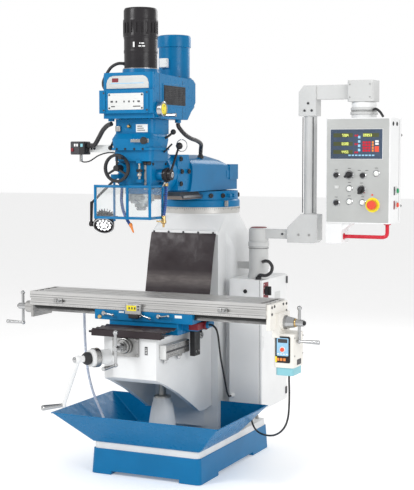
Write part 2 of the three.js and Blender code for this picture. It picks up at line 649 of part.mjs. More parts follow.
// ---- table ----
function table() {
  const { halfX, y, z, slot, slotPitch } = TABLE;
  const slab = block([-halfX, halfX], y, z);
  const dovetail = prism("x", tableDovetail(0, z[0] + 2), [-halfX, halfX]);
  const slots = [-1, 0, 1].flatMap((row) => {
    const mid = FEED.y + row * slotPitch;
    return [
      block([-halfX - 1, halfX + 1], [mid - slot / 2, mid + slot / 2], [z[1] - 18, z[1] + 1]),
      block([-halfX - 1, halfX + 1], [mid - slot, mid + slot], [z[1] - 28, z[1] - 17]),
    ];
  });
  const troughs = [-1, 1].map((side) =>
    block([side * 659 - 12, side * 659 + 12], [y[0] + 12, y[1] - 12], [z[1] - 12, z[1] + 1]));
  const dogSlot = block([-halfX - 1, halfX + 1], [y[0] - 1, y[0] + 9], [905, 919]);
  const screwChannel = block([-halfX - 1, halfX + 1], [FEED.y - 20, FEED.y + 20], [840, 874]);
  const [dx, dy] = DRAIN_ROUTE[0];
  const spout = bar([dx, y[1] - 2, 905], [dx, dy, 905], 10, 10, 10);
  const drop = bar([dx, dy, 905], [dx, dy, 872], 10, 9, 10);
  const body = cut(join(slab, dovetail), ...slots, ...troughs, dogSlot, screwChannel);
  return join(body, spout, ball([dx, dy, 905], 10.5), drop);
}

function leftEndBracket() {
  const face = -TABLE.halfX - GAP;
  const plate = block([face - 15, face], [-446, -256], [812, 900]);
  const boss = bar([face - 14, FEED.y, FEED.z], [-783, FEED.y, FEED.z], 40, 32, 24);
  const bore = bar([-800, FEED.y, FEED.z], [-600, FEED.y, FEED.z], FEED.r + 0.6, FEED.r + 0.6, 20);
  return cut(join(plate, boss), bore);
}

function powerFeed() {
  const face = TABLE.halfX + GAP;
  const plate = block([face, face + 22], [-470, -236], [822, 950]);
  const neck = block([face + 4, face + 42], [-404, -256], [780, 900]);
  const motor = pillar([face + 6, 800], [-392, -248], [630, 800], 14);
  const shoulder = bar([face + 20, FEED.y, FEED.z], [738, FEED.y, FEED.z], 46, 40, 24);
  const bore = bar([600, FEED.y, FEED.z], [900, FEED.y, FEED.z], FEED.r + 0.6, FEED.r + 0.6, 20);
  return cut(join(plate, neck, motor, shoulder), bore);
}

function powerFeedCap() {
  const gland = bar([745, -310, 592], [745, -310, 578], 9, 7, 10);
  return join(pillar([700, 794], [-386, -254], [590, 630 - GAP], 18), gland);
}

function leadscrew() {
  return bar([-790, FEED.y, FEED.z], [790, FEED.y, FEED.z], FEED.r, FEED.r, 20);
}

// A ball crank on the table screw; side is -1 on the left and 1 on the right.
function tableCrank(side) {
  const x = side * 814;
  const hub = bar([side * (790 + GAP), FEED.y, FEED.z], [side * 838, FEED.y, FEED.z], 19, 17, 18);
  const arm = bar([x, FEED.y, FEED.z - 90], [x, FEED.y, FEED.z + 70], 8, 8, 12);
  const grip = bar([x, FEED.y, FEED.z - 92], [side * 920, FEED.y, FEED.z - 92], 7, 11, 12);
  return join(hub, arm, ball([x, FEED.y, FEED.z + 74], 13), ball([x, FEED.y, FEED.z - 92], 13), grip);
}

// The graduated dial that turns with the right crank.
function dialRing() {
  const ring = bar([738 + GAP, FEED.y, FEED.z], [791, FEED.y, FEED.z], 33, 24, 24);
  const bore = bar([730, FEED.y, FEED.z], [790 + GAP, FEED.y, FEED.z], FEED.r + GAP, FEED.r + GAP, 20);
  return cut(ring, bore);
}

// ---- swing arm and control panel ----
function armPost() {
  const { x, y, r, top } = POST;
  const foot = CABINET.z[1] + GAP;
  const profile = [[0, foot], [60, foot], [60, foot + 14], [r + 4, foot + 18], [r, foot + 40], [r, top - 34],
    [r + 5, top - 30], [r + 5, top - 8], [r, top - 4], [r, top], [0, top]];
  const strut = block([COLUMN.bodyX + GAP, x], [y - 16 + 60, y + 16 + 60], [1060, 1098]);
  return join(turned(profile, [x, y, 0], 32), strut, block([x - 30, x + 30], [y, y + 76], [1060, 1098]));
}

function armConduit() {
  const route = [[436, 94, 1110], [456, 78, 1116], [484, 64, 1112], [503, 58, 1088], [497, 56, 1058], [470, 56, 1040],
    [435, 60, 1040], [424, 67, 1036], [420, 68, 1028], [420, 68, 1017]];
  return hose(route, 9, 24);
}

function swingArm() {
  const { x, y, r, top } = POST;
  const { z, riserX, riserR } = ARM;
  const hub = turned([[0, top + GAP], [r + 1, top + GAP], [r + 1, 1284], [r - 8, 1292], [0, 1292]], [x, y, 0], 32);
  const link = block([x, 580], [y - 24, y + 24], [z[0] + 6, z[1] - 6]);
  const elbowSide = [[574, 1218], [728, 1218], [744, 1234], [744, 1372], [650, 1372], [574, 1300]];
  const elbow = prism("y", elbowSide, [y - 42, y + 42]);
  const riser = bar([riserX, y, 1360], [riserX, y, 1980], riserR, riserR, 24);
  const topSide = [[636, 1892], [732, 1892], [732, 2052], [664, 2052], [636, 2018]];
  const topElbow = prism("y", topSide, [y - 42, y + 42]);
  const beam = block([728, 920], [y - 34, y + 34], ARM.top);
  const head = pillar([908, 1052], [y - 62, y + 62], [1962, 2072], 20);
  const neck = bar([984, y, 1958], [984, y, 1965], 60, 60, 24);
  return join(hub, link, elbow, riser, topElbow, beam, head, neck);
}

const STOP = { x: 1066, z: 1430 };
const SIDE_BUTTONS = { y: 150, z: [1501, 1428], r: 13 };

function controlBox() {
  const { x, y, z } = BOX;
  const shell = pillar(x, y, z, 6, 2);
  const lower = block([x[0] - 2, x[0] + 86], [y[0] + 6, y[0] + 120], [1226, z[0] + 1]);
  const slope = prism("y", [[x[0] + 84, 1292], [x[0] + 140, z[0] + 1], [x[0] + 84, z[0] + 1]], [y[0] + 12, y[0] + 110]);
  const bezel = block([836, 1118], [y[0] - 4, y[0] + 2], [1664, 1820]);
  const neck = bar([984, POST.y, z[1] - 1], [984, POST.y, 1958 - GAP], 66, 64, 24);
  const recess = block([846, 1108], [y[0] - 6, y[0] - 1], [1674, 1810]);
  const stopBore = bar([STOP.x, y[0] - 1, STOP.z], [STOP.x, y[0] + 12, STOP.z], 14, 14, 14);
  const sideBores = SIDE_BUTTONS.z.map((bz) =>
    bar([x[1] - 10, SIDE_BUTTONS.y, bz], [x[1] + 1, SIDE_BUTTONS.y, bz], 14, 14, 14));
  return cut(join(shell, lower, slope, bezel, neck), recess, stopBore, ...sideBores);
}

function panelHandle() {
  const [y, r] = [BOX.y[0] + 44, 10];
  const z = 1262;
  const right = 1132;
  const drop = bar([right, y, BOX.z[0] - GAP], [right, y, z + 22], r, r, 12);
  const bend = hose([[right, y, z + 24], [right - 4, y, z + 8], [right - 22, y, z]], r, 6, 12);
  const runBar = bar([right - 20, y, z], [898 + GAP, y, z], r, r, 12);
  return join(drop, ball([right, y, z + 23], r), bend, ball([right - 21, y, z], r), runBar);
}

// A push button standing out of the box's right side, with its shank in the bore.
function sideButton(z) {
  const { y, r } = SIDE_BUTTONS;
  return bar([BOX.x[1] - 2, y, z], [BOX.x[1] + 14, y, z], r, r - 1.5, 14);
}

function emergencyStop() {
  const { x, z } = STOP;
  const face = BOX.y[0];
  const shank = bar([x, face + 2, z], [x, face - 20, z], 13, 13, 14);
  return join(shank, bar([x, face - 12, z], [x, face - 34, z], 25, 22, 18));
}

// ---- the assembly ----
add("base_casting", BLUE, baseCasting());
add("coolant_tray", BLUE, coolantTray());
add("column", GREY, column());
add("screw_pedestal", GREY, screwPedestal());
add("degree_ring", STEEL, degreeRing());
add("column_way_cover", RUBBER, wayCover());
add("electrical_cabinet", GREY, cabinet());
add("cabinet_door", GREY, cabinetDoor());
add("main_switch", BLACK, mainSwitch());
add("turret_plate", BLUE, turretPlate());
add("ram", BLUE, ram());
add("ram_adapter", BLUE, ramAdapter());
add("head_casting", BLUE, headCasting());
add("belt_housing", BLUE, beltHousing());
add("drawbar_unit", BLACK, drawbarUnit());
add("drive_motor", BLUE, driveMotor());
add("quill", STEEL, quill());
add("spindle", STEEL, spindle());
add("depth_stop_screw", STEEL, depthStopScrew());
add("quill_feed_lever", BLACK, quillFeedLever());
add("fine_feed_handwheel", BLACK, fineFeedHandwheel());
add("speed_handwheel", CHROME, speedHandwheel());
add("range_lever", CHROME, rangeLever());
add("guard_frame", BLUE, guardFrame());
["guard_pane_left", "guard_pane_front", "guard_pane_right"].forEach((name, i) => add(name, CLEAR, guardPane(i)));
add("lamp_arm", BLACK, lampArm());
add("lamp_head", BLACK, lampHead());
add("coolant_hose", HOSE_BLUE, coolantHose());
add("switch_box", BLACK, switchBox());
add("switch_conduit", RUBBER, switchConduit());
add("drawbar_hose", RUBBER, drawbarHose());
add("head_conduit", RUBBER, headConduit());
add("knee", GREY, knee());
add("elevating_screw", STEEL, elevatingScrew());
add("knee_crank", CHROME, kneeCrank());
add("cross_screw_bracket", STEEL, crossScrewBracket());
add("cross_crank", CHROME, crossCrank());
add("y_scale", STEEL, yScale());
add("saddle", BLUE, saddle());
add("front_way_cover", RUBBER, frontWayCover());
add("table", STEEL, table());
add("left_end_bracket", STEEL, leftEndBracket());
add("power_feed", CREAM, powerFeed());
add("power_feed_cap", CYAN, powerFeedCap());
add("leadscrew", STEEL, leadscrew());
add("left_crank", CHROME, tableCrank(-1));
add("right_crank", CHROME, join(tableCrank(1), dialRing()));
add("drain_hose", HOSE_CLEAR, hose(DRAIN_ROUTE, 7, 22));
add("saddle_cable", RUBBER, hose(SADDLE_ROUTE, 5, 28));
add("feed_cable", RUBBER, hose(FEED_ROUTE, 5, 34));
add("arm_post", GREY, armPost());
add("arm_conduit", RUBBER, armConduit());
add("swing_arm", GREY, swingArm());
add("control_box", GREY, controlBox());
add("panel_handle", RED, panelHandle());
add("emergency_stop", RED, emergencyStop());
add("start_button", GREEN, sideButton(SIDE_BUTTONS.z[0]));
add("stop_button", RED, sideButton(SIDE_BUTTONS.z[1]));

export default machine;
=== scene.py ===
"""Knee-type turret milling machine: surfaces, small parts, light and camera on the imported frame."""
import json
import math

import bmesh
import bpy
from mathutils import Matrix, Vector

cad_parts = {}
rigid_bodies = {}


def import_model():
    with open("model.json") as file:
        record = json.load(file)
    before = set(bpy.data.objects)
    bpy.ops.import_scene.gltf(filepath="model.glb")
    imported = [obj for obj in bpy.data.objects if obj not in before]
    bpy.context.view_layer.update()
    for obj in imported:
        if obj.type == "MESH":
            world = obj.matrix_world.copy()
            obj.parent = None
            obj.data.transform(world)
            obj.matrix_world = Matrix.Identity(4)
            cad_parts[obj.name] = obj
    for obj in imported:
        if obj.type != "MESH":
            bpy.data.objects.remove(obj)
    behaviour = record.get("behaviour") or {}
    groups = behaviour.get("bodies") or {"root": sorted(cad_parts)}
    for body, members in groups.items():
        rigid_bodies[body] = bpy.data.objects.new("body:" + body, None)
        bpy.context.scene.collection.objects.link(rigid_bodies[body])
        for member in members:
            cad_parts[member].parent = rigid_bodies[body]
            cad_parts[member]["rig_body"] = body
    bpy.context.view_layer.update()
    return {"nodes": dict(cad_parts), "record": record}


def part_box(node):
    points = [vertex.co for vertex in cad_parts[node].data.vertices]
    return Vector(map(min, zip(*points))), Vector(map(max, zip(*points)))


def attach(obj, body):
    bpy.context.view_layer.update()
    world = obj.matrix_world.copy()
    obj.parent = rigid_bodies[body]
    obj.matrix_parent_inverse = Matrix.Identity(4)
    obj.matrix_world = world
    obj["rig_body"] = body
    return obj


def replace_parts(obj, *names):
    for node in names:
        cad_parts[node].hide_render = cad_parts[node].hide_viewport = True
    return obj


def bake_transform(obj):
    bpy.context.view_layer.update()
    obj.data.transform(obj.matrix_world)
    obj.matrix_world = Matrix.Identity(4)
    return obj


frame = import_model()
MM = 0.001
X, Y, Z = Vector((1, 0, 0)), Vector((0, 1, 0)), Vector((0, 0, 1))
SLOT = {s["node"]: s["material_slot"] for s in frame["record"]["subparts"]}
BODY = {n: o["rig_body"] for n, o in frame["nodes"].items()}


def ends(node):
    """Lowest and highest corner of a CAD node, in millimetres."""
    lo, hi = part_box(node)
    return lo / MM, hi / MM


# ---- camera ----
LENS_MM, SENSOR_MM = 88.8, 36
CAMERA_AT = (2.911, -5.946, 1.684)
CAMERA_TURN, CAMERA_TILT = 24.95, 85.76


def make_camera():
    """The photograph's view: a long lens, from the front right, a little above the table."""
    data = bpy.data.cameras.new("camera")
    data.lens, data.sensor_width = LENS_MM, SENSOR_MM
    cam = bpy.data.objects.new("camera", data)
    turn = Matrix.Rotation(math.radians(CAMERA_TURN), 4, "Z")
    tilt = Matrix.Rotation(math.radians(CAMERA_TILT), 4, "X")
    cam.matrix_world = Matrix.Translation(CAMERA_AT) @ turn @ tilt
    bpy.context.scene.collection.objects.link(cam)
    bpy.context.scene.camera = cam


make_camera()


# ---- materials ----
class Graph:
    """A node tree with short calls for the textures that the finishes share."""

    def __init__(self, name):
        self.material = bpy.data.materials.new(name)
        self.material.use_nodes = True
        self.tree = self.material.node_tree
        self.shader = self.tree.nodes["Principled BSDF"]
        self.place = self.tree.nodes.new("ShaderNodeTexCoord").outputs["Object"]

    def node(self, kind, links=(), **settings):
        made = self.tree.nodes.new(kind)
        for key, value in settings.items():
            setattr(made, key, value)
        for socket, value in links:
            if isinstance(value, bpy.types.NodeSocket):
                self.tree.links.new(value, made.inputs[socket])
            else:
                made.inputs[socket].default_value = value
        return made

    def noise(self, scale, stretch=(1, 1, 1), detail=4.0):
        spot = self.node("ShaderNodeMapping", [("Vector", self.place), ("Scale", stretch)])
        return self.node("ShaderNodeTexNoise",
                         [("Vector", spot.outputs[0]), ("Scale", scale), ("Detail", detail)]).outputs[0]

    def spread(self, value, low, high, start=0.35, stop=0.65):
        links = [("Value", value), ("From Min", start), ("From Max", stop), ("To Min", low), ("To Max", high)]
        return self.node("ShaderNodeMapRange", links).outputs[0]

    def mix(self, factor, a, b):
        made = self.node("ShaderNodeMix", data_type="RGBA")
        for index, value in ((0, factor), (6, a), (7, b)):
            if isinstance(value, bpy.types.NodeSocket):
                self.tree.links.new(value, made.inputs[index])
            else:
                made.inputs[index].default_value = value
        return made.outputs[2]

    def height(self, axis):
        parts = self.node("ShaderNodeSeparateXYZ", [("Vector", self.place)])
        return parts.outputs["XYZ".index(axis)]

    def bump(self, value, strength, distance, below=None):
        links = [("Height", value), ("Strength", strength), ("Distance", distance)]
        if below is not None:
            links.append(("Normal", below))
        return self.node("ShaderNodeBump", links).outputs[0]

    def set(self, socket, value):
        if isinstance(value, bpy.types.NodeSocket):
            self.tree.links.new(value, self.shader.inputs[socket])
        else:
            self.shader.inputs[socket].default_value = value


def shade(colour, factor):
    return (*[min(1, c * factor) for c in colour[:3]], 1)


def finish(name, colour, rough, metal=0.0, grain=900.0, relief=0.12, cloud=0.07, stretch=(1, 1, 1),
           wear=0.0, gloss=0.4, below=None):
    """Paint or metal: slow colour drift, fine grain, uneven gloss and, with wear, small rubbed spots."""
    g = Graph(name)
    drift = g.spread(g.noise(5.0), 0, 1)
    tone = g.mix(drift, shade(colour, 1 - cloud), shade(colour, 1 + cloud))
    fine = g.noise(grain, stretch)
    tone = g.mix(g.spread(fine, 0, 0.35), tone, shade(colour, 1 - 1.6 * cloud))
    if below:
        level, dark = below
        under = g.node("ShaderNodeMath", [(0, g.height("Z")), (1, level)], operation="LESS_THAN").outputs[0]
        tone = g.mix(under, tone, shade(dark, 1))
    if wear:
        rubbed = g.spread(g.noise(46.0, detail=8.0), 0, wear, 0.66, 0.72)
        tone = g.mix(rubbed, tone, shade((0.34, 0.34, 0.35), 1))
    g.set("Base Color", tone)
    g.set("Metallic", metal)
    g.set("Roughness", g.spread(g.noise(28.0, stretch), rough * 0.8, min(1, rough * 1.25)))
    g.set("Normal", g.bump(g.noise(60.0), 0.03, 0.002, g.bump(fine, relief, 0.0006)))
    g.set("Specular IOR Level", gloss)
    return g.material


def banded(name, axis, levels, looks):
    """Several paints or metals on one casting, split at levels along an axis (metres)."""
    g = Graph(name)
    place = g.height(axis)
    tone, metal, rough = shade(looks[0][0], 1), looks[0][1], looks[0][2]
    for level, (colour, shine, dull) in zip(levels, looks[1:]):
        over = g.node("ShaderNodeMath", [(0, place), (1, level)], operation="GREATER_THAN").outputs[0]
        tone = g.mix(over, tone, shade(colour, 1))
        metal = g.mix(over, metal if isinstance(metal, bpy.types.NodeSocket) else (metal,) * 3 + (1,),
                      (shine,) * 3 + (1,))
        rough = g.mix(over, rough if isinstance(rough, bpy.types.NodeSocket) else (rough,) * 3 + (1,),
                      (dull,) * 3 + (1,))
    drift = g.spread(g.noise(7.0), 0, 1)
    dark = g.node("ShaderNodeHueSaturation", [("Color", tone), ("Value", 0.9)]).outputs[0]
    g.set("Base Color", g.mix(drift, tone, dark))
    g.set("Metallic", metal)
    g.set("Roughness", rough)
    g.set("Specular IOR Level", 0.22)
    g.set("Normal", g.bump(g.noise(700.0), 0.14, 0.0006))
    return g.material


def ridged(name, colour, axis, pitch, rough=0.35, metal=1.0, depth=0.0012):
    """Screw threads, knurls or corrugations: ridges across an axis, with painted shade darkening the valleys.
    """
    g = Graph(name)
    wave = g.node("ShaderNodeTexWave", [("Vector", g.place), ("Scale", 0.314 / pitch), ("Distortion", 0.0)],
                  wave_type="BANDS", bands_direction=axis, wave_profile="SIN").outputs[1]
    # painted shade: the colour falls to 0.45 in the valleys between ridges
    tone = g.mix(wave, shade(colour, 0.45), shade(colour, 1.05))
    g.set("Base Color", tone)
    g.set("Metallic", metal)
    g.set("Roughness", g.spread(g.noise(60.0), rough * 0.8, rough * 1.2))
    g.set("Normal", g.bump(wave, 0.7, depth, g.bump(g.noise(900.0), 0.1, 0.0005)))
    return g.material


def rubber_with_painted_highlight():
    """Black sheet rubber, with a painted highlight: a soft lighter band where the sheet bends, broken up by
    noise.
    """
    g = Graph("apron_rubber")
    # painted highlight: the colour lightens in a band around z = 1.01 m, where the bend would catch the light
    near = g.node("ShaderNodeMath", [(0, g.height("Z")), (1, 1.01)], operation="SUBTRACT").outputs[0]
    far = g.node("ShaderNodeMath", [(0, near)], operation="ABSOLUTE").outputs[0]
    band = g.spread(far, 1, 0, 0.0, 0.05)
    painted_highlight = g.node("ShaderNodeMath", [(0, band), (1, g.spread(g.noise(16.0, (1, 1, 4)), 0.55, 1))],
                  operation="MULTIPLY").outputs[0]
    g.set("Base Color", g.mix(painted_highlight, (0.022, 0.013, 0.016, 1), (0.13, 0.11, 0.105, 1)))
    g.set("Roughness", g.spread(g.noise(20.0), 0.3, 0.48))
    g.set("Specular IOR Level", 0.3)
    g.set("Normal", g.bump(g.noise(420.0, (1, 1, 5)), 0.16, 0.0006, g.bump(g.noise(14.0), 0.12, 0.004)))
    return g.material


def clear_sheet():
    g = Graph("clear_sheet")
    g.set("Base Color", g.mix(g.spread(g.noise(9.0), 0, 1), (0.93, 0.97, 0.98, 1), (0.97, 0.99, 1, 1)))
    g.set("Transmission Weight", 0.94)
    g.set("Roughness", g.spread(g.noise(30.0), 0.03, 0.09))
    g.set("IOR", 1.15)
    g.set("Normal", g.bump(g.noise(24.0), 0.03, 0.001))
    return g.material


def clear_tube():
    g = Graph("clear_tube")
    g.set("Base Color", g.mix(g.spread(g.noise(40.0), 0, 1), (0.55, 0.62, 0.78, 1), (0.74, 0.79, 0.88, 1)))
    g.set("Transmission Weight", 0.25)
    g.set("Roughness", g.spread(g.noise(50.0), 0.14, 0.3))
    g.set("Normal", g.bump(g.noise(300.0), 0.1, 0.0005))
    return g.material


def glowing(name, colour, strength, spots):
    g = Graph(name)
    tone = g.mix(g.spread(g.noise(spots), 0, 1), shade(colour, 0.7), shade(colour, 1.1))
    g.set("Base Color", tone)
    g.set("Emission Color", tone)
    g.set("Emission Strength", strength)
    g.set("Roughness", g.spread(g.noise(80.0), 0.15, 0.35))
    return g.material


BLUE = (0.0, 0.152, 0.352)
GREY = (0.72, 0.73, 0.735)
CAST_BLUE = finish("cast_blue", BLUE, 0.34, grain=420, relief=0.2, cloud=0.08, wear=0.08, gloss=0.22)
SHEET_BLUE = finish("sheet_blue", BLUE, 0.3, grain=1500, relief=0.08, cloud=0.06, gloss=0.22)
CAST_GREY = finish("cast_grey", GREY, 0.42, grain=420, relief=0.16, cloud=0.04, wear=0.05)
SHEET_GREY = finish("sheet_grey", (0.78, 0.785, 0.785), 0.4, grain=1500, relief=0.06, cloud=0.03)
ARM_GREY = finish("arm_grey", (0.56, 0.565, 0.56), 0.42, grain=1100, relief=0.1, cloud=0.05)
GROUND = finish("ground_iron", (0.43, 0.425, 0.415), 0.34, metal=0.85, grain=240, relief=0.08, cloud=0.08,
                stretch=(0.3, 9, 9))
RING_STEEL = finish("ring_steel", (0.56, 0.55, 0.53), 0.36, metal=0.45, grain=300, relief=0.06, cloud=0.06)
SKIRT_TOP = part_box("table")[1].z - 0.0735
TABLE_IRON = finish("table_iron", (0.56, 0.555, 0.545), 0.36, metal=0.65, grain=300, relief=0.04,
                    cloud=0.05, stretch=(0.6, 3, 3), below=(SKIRT_TOP, (0.1, 0.1, 0.1)))
STEEL = finish("steel", (0.4, 0.4, 0.395), 0.3, metal=0.95, grain=500, relief=0.06, cloud=0.1)
BRUSHED = finish("brushed_plate", (0.5, 0.51, 0.5), 0.36, metal=0.55, grain=300, relief=0.06, cloud=0.05,
                 stretch=(1, 14, 14))
CHROME = finish("chrome", (0.46, 0.465, 0.47), 0.17, metal=1.0, grain=700, relief=0.02, cloud=0.04)
BRASS = finish("brass", (0.62, 0.42, 0.18), 0.28, metal=1.0, grain=600, relief=0.06, cloud=0.12)
BLACK_GLOSS = finish("black_gloss", (0.022, 0.02, 0.022), 0.28, grain=1300, relief=0.06, cloud=0.15,
                     gloss=0.22)
BLACK_MATT = finish("black_matt", (0.018, 0.018, 0.02), 0.5, grain=1600, relief=0.12, cloud=0.15)
RUBBER = finish("rubber", (0.03, 0.022, 0.025), 0.5, grain=800, relief=0.22, cloud=0.2, gloss=0.25)
# the apron rubber carries a painted highlight band where it bends
APRON = rubber_with_painted_highlight()
CREAM = finish("cream_shell", (0.77, 0.75, 0.7), 0.38, grain=900, relief=0.08, cloud=0.04)
CYAN = finish("cyan_cap", (0.24, 0.53, 0.6), 0.36, grain=900, relief=0.08, cloud=0.05)
RED = finish("red_enamel", (0.55, 0.012, 0.03), 0.24, grain=1300, relief=0.05, cloud=0.08, gloss=0.4)
RED_BUTTON = finish("red_button", (0.75, 0.08, 0.04), 0.3, grain=1500, relief=0.05, cloud=0.06)
DARK_RED = finish("dark_red", (0.2, 0.012, 0.022), 0.4, grain=900, relief=0.1, cloud=0.12)
GREEN = finish("green_button", (0.02, 0.3, 0.12), 0.3, grain=1500, relief=0.05, cloud=0.06)
YELLOW = finish("yellow_print", (0.85, 0.72, 0.03), 0.35, grain=1200, relief=0.05, cloud=0.06)
ORANGE = finish("orange_nozzle", (0.75, 0.24, 0.05), 0.35, grain=1200, relief=0.05, cloud=0.06)
WHITE = finish("white_print", (0.8, 0.81, 0.8), 0.38, grain=1500, relief=0.04, cloud=0.03)
PLATE = finish("satin_plate", (0.66, 0.67, 0.66), 0.34, metal=0.25, grain=420, relief=0.05, cloud=0.05,
               stretch=(1, 12, 12))
OLIVE = finish("display_window", (0.075, 0.085, 0.035), 0.2, grain=1500, relief=0.03, cloud=0.15)
INK = finish("ink", (0.05, 0.05, 0.055), 0.45, grain=1500, relief=0.05, cloud=0.15)
SLATE = finish("slate_panel", (0.05, 0.075, 0.12), 0.26, grain=900, relief=0.05, cloud=0.12)
SKY = finish("sky_panel", (0.3, 0.55, 0.75), 0.32, grain=1200, relief=0.05, cloud=0.05)
SEGMENT = ridged("hose_segments", (0.02, 0.09, 0.36), "Z", 0.011, rough=0.35, metal=0.0, depth=0.003)
RIBBED = ridged("ribbed_conduit", (0.035, 0.033, 0.036), "DIAGONAL", 0.0065, rough=0.4, metal=0.0,
                depth=0.002)
THREAD_X = ridged("thread_x", (0.62, 0.6, 0.56), "X", 0.006)
THREAD_Z = ridged("thread_z", (0.62, 0.6, 0.56), "Z", 0.006)
PANE = clear_sheet()
TUBE = clear_tube()
LED = glowing("lamp_cell", (0.95, 0.97, 1.0), 1.1, 120.0)
DIGIT = glowing("lit_digit", (0.75, 0.8, 0.22), 0.9, 60.0)
LENS_WHITE = glowing("lit_lens", (0.9, 0.93, 0.88), 0.15, 90.0)

PLINTH_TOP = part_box("base_casting")[1].z - 0.035
BASE_PAINT = banded("base_paint", "Z", [PLINTH_TOP], [(BLUE, 0.0, 0.32), (GREY, 0.0, 0.42)])
RAM_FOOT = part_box("turret_plate")[1].z + 0.0035
RAM_PAINT = banded("ram_paint", "Z", [RAM_FOOT], [((0.36, 0.3, 0.26), 0.7, 0.4), (BLUE, 0.0, 0.32)])

LOOK = {
    "blue_paint": CAST_BLUE, "blue_sheet": SHEET_BLUE, "grey_paint": CAST_GREY, "grey_sheet": SHEET_GREY,
    "machined": GROUND, "steel": STEEL, "chrome": CHROME, "black_paint": BLACK_GLOSS,
    "black_plastic": BLACK_MATT, "rubber": RUBBER, "clear_pane": PANE, "cream_plastic": CREAM,
    "cyan_plastic": CYAN, "red_paint": RED, "red_plastic": RED_BUTTON, "green_plastic": GREEN,
    "blue_hose": SEGMENT, "clear_hose": TUBE,
}
# The slot each look stands for, unless the piece says otherwise.
NODE_LOOK = {
    "base_casting": BASE_PAINT, "ram": RAM_PAINT, "leadscrew": THREAD_X, "elevating_screw": THREAD_Z,
    "depth_stop_screw": THREAD_Z, "degree_ring": RING_STEEL, "swing_arm": ARM_GREY, "arm_post": ARM_GREY,
    "knee_crank": SHEET_GREY, "table": TABLE_IRON,
}


# ---- mesh tools: every measure is in millimetres ----
def publish(name, mesh, look, body):
    obj = bpy.data.objects.new(name, mesh)
    bpy.context.scene.collection.objects.link(obj)
    mesh.materials.clear()
    mesh.materials.append(look)
    if body:
        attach(obj, body)
    return obj


def from_bmesh(name, bm, look, body, bevel=0.0, sharp=38, scale=MM):
    bmesh.ops.recalc_face_normals(bm, faces=bm.faces)
    for face in bm.faces:
        face.smooth = True
    mesh = bpy.data.meshes.new(name)
    bm.to_mesh(mesh)
    bm.free()
    if scale != 1:
        mesh.transform(Matrix.Scale(scale, 4))
    mesh.set_sharp_from_angle(angle=math.radians(sharp))
    obj = publish(name, mesh, look, body)
    if bevel:
        edge = obj.modifiers.new("edge", "BEVEL")
        edge.width = bevel * MM
        edge.segments = 2
        edge.limit_method = "ANGLE"
        edge.angle_limit = math.radians(sharp)
        edge.use_clamp_overlap = True
    obj.modifiers.new("weighted", "WEIGHTED_NORMAL").keep_sharp = True
    return obj


def basis(axis):
    """A matrix whose Z is the axis."""
    return Vector(axis).normalized().to_track_quat("Z", "Y").to_matrix().to_4x4()


def add_lathe(bm, profile, foot, axis=Z, sides=48):
    place = Matrix.Translation(foot) @ basis(axis)
    rings = []
    for r, h in profile:
        if r < 0.01:
            rings.append([bm.verts.new(place @ Vector((0, 0, h)))])
        else:
            turns = [2 * math.pi * i / sides for i in range(sides)]
            rings.append([bm.verts.new(place @ Vector((r * math.cos(t), r * math.sin(t), h))) for t in turns])
    for low, high in zip(rings, rings[1:]):
        for i in range(sides):
            j = (i + 1) % sides
            corners = [low[i % len(low)], low[j % len(low)], high[j % len(high)], high[i % len(high)]]
            unique = list(dict.fromkeys(corners))
            if len(unique) > 2:
                bm.faces.new(unique)


def lathe(name, profile, foot, look, body, axis=Z, sides=48, sharp=38):
    bm = bmesh.new()
    add_lathe(bm, profile, Vector(foot), axis, sides)
    return from_bmesh(name, bm, look, body, sharp=sharp)


def add_box(bm, lo, hi, place=None):
    lo, hi = Vector(lo), Vector(hi)
    size = Matrix.Diagonal((*(hi - lo), 1))
    bmesh.ops.create_cube(bm, size=1, matrix=(place or Matrix()) @ Matrix.Translation((lo + hi) / 2) @ size)


def slab(name, lo, hi, look, body, bevel=1.5, place=None):
    bm = bmesh.new()
    add_box(bm, lo, hi, place)
    return from_bmesh(name, bm, look, body, bevel=bevel)


def slabs(name, boxes, look, body, bevel=0.8, place=None):
    bm = bmesh.new()
    for lo, hi in boxes:
        add_box(bm, lo, hi, place)
    return from_bmesh(name, bm, look, body, bevel=bevel)


def outline_plate(name, outline, axis, low, thick, look, body, bevel=0.6):
    """A flat plate of any outline: (u, v) points, on X-Z for axis Y, Y-Z for axis X and X-Y for axis Z."""
    spread = {
        "X": lambda u, v, w: (w, u, v),
        "Y": lambda u, v, w: (u, w, v),
        "Z": lambda u, v, w: (u, v, w),
    }[axis]
    bm = bmesh.new()
    bottom = [bm.verts.new(spread(u, v, low)) for u, v in outline]
    top = [bm.verts.new(spread(u, v, low + thick)) for u, v in outline]
    bm.faces.new(bottom)
    bm.faces.new(top)
    for i in range(len(outline)):
        j = (i + 1) % len(outline)
        bm.faces.new((bottom[i], bottom[j], top[j], top[i]))
    return from_bmesh(name, bm, look, body, bevel=bevel)


def rounded(u0, v0, u1, v1, r, steps=6):
    points = []
    for k, (cu, cv) in enumerate(((u1 - r, v1 - r), (u0 + r, v1 - r), (u0 + r, v0 + r), (u1 - r, v0 + r))):
        for i in range(steps + 1):
            t = (k + i / steps) * math.pi / 2
            points.append((cu + r * math.cos(t), cv + r * math.sin(t)))
    return points


def screws(name, spots, axis, r, tall, look, body):
    """Socket-head screws standing on the spots, each with its hex recess."""
    bm = bmesh.new()
    for spot in spots:
        profile = [(r, 0), (r, tall * 0.8), (r * 0.88, tall), (r * 0.55, tall), (r * 0.5, tall * 0.45),
                   (0, tall * 0.45)]
        add_lathe(bm, profile, Vector(spot), axis, sides=24)
    return from_bmesh(name, bm, look, body, sharp=30)


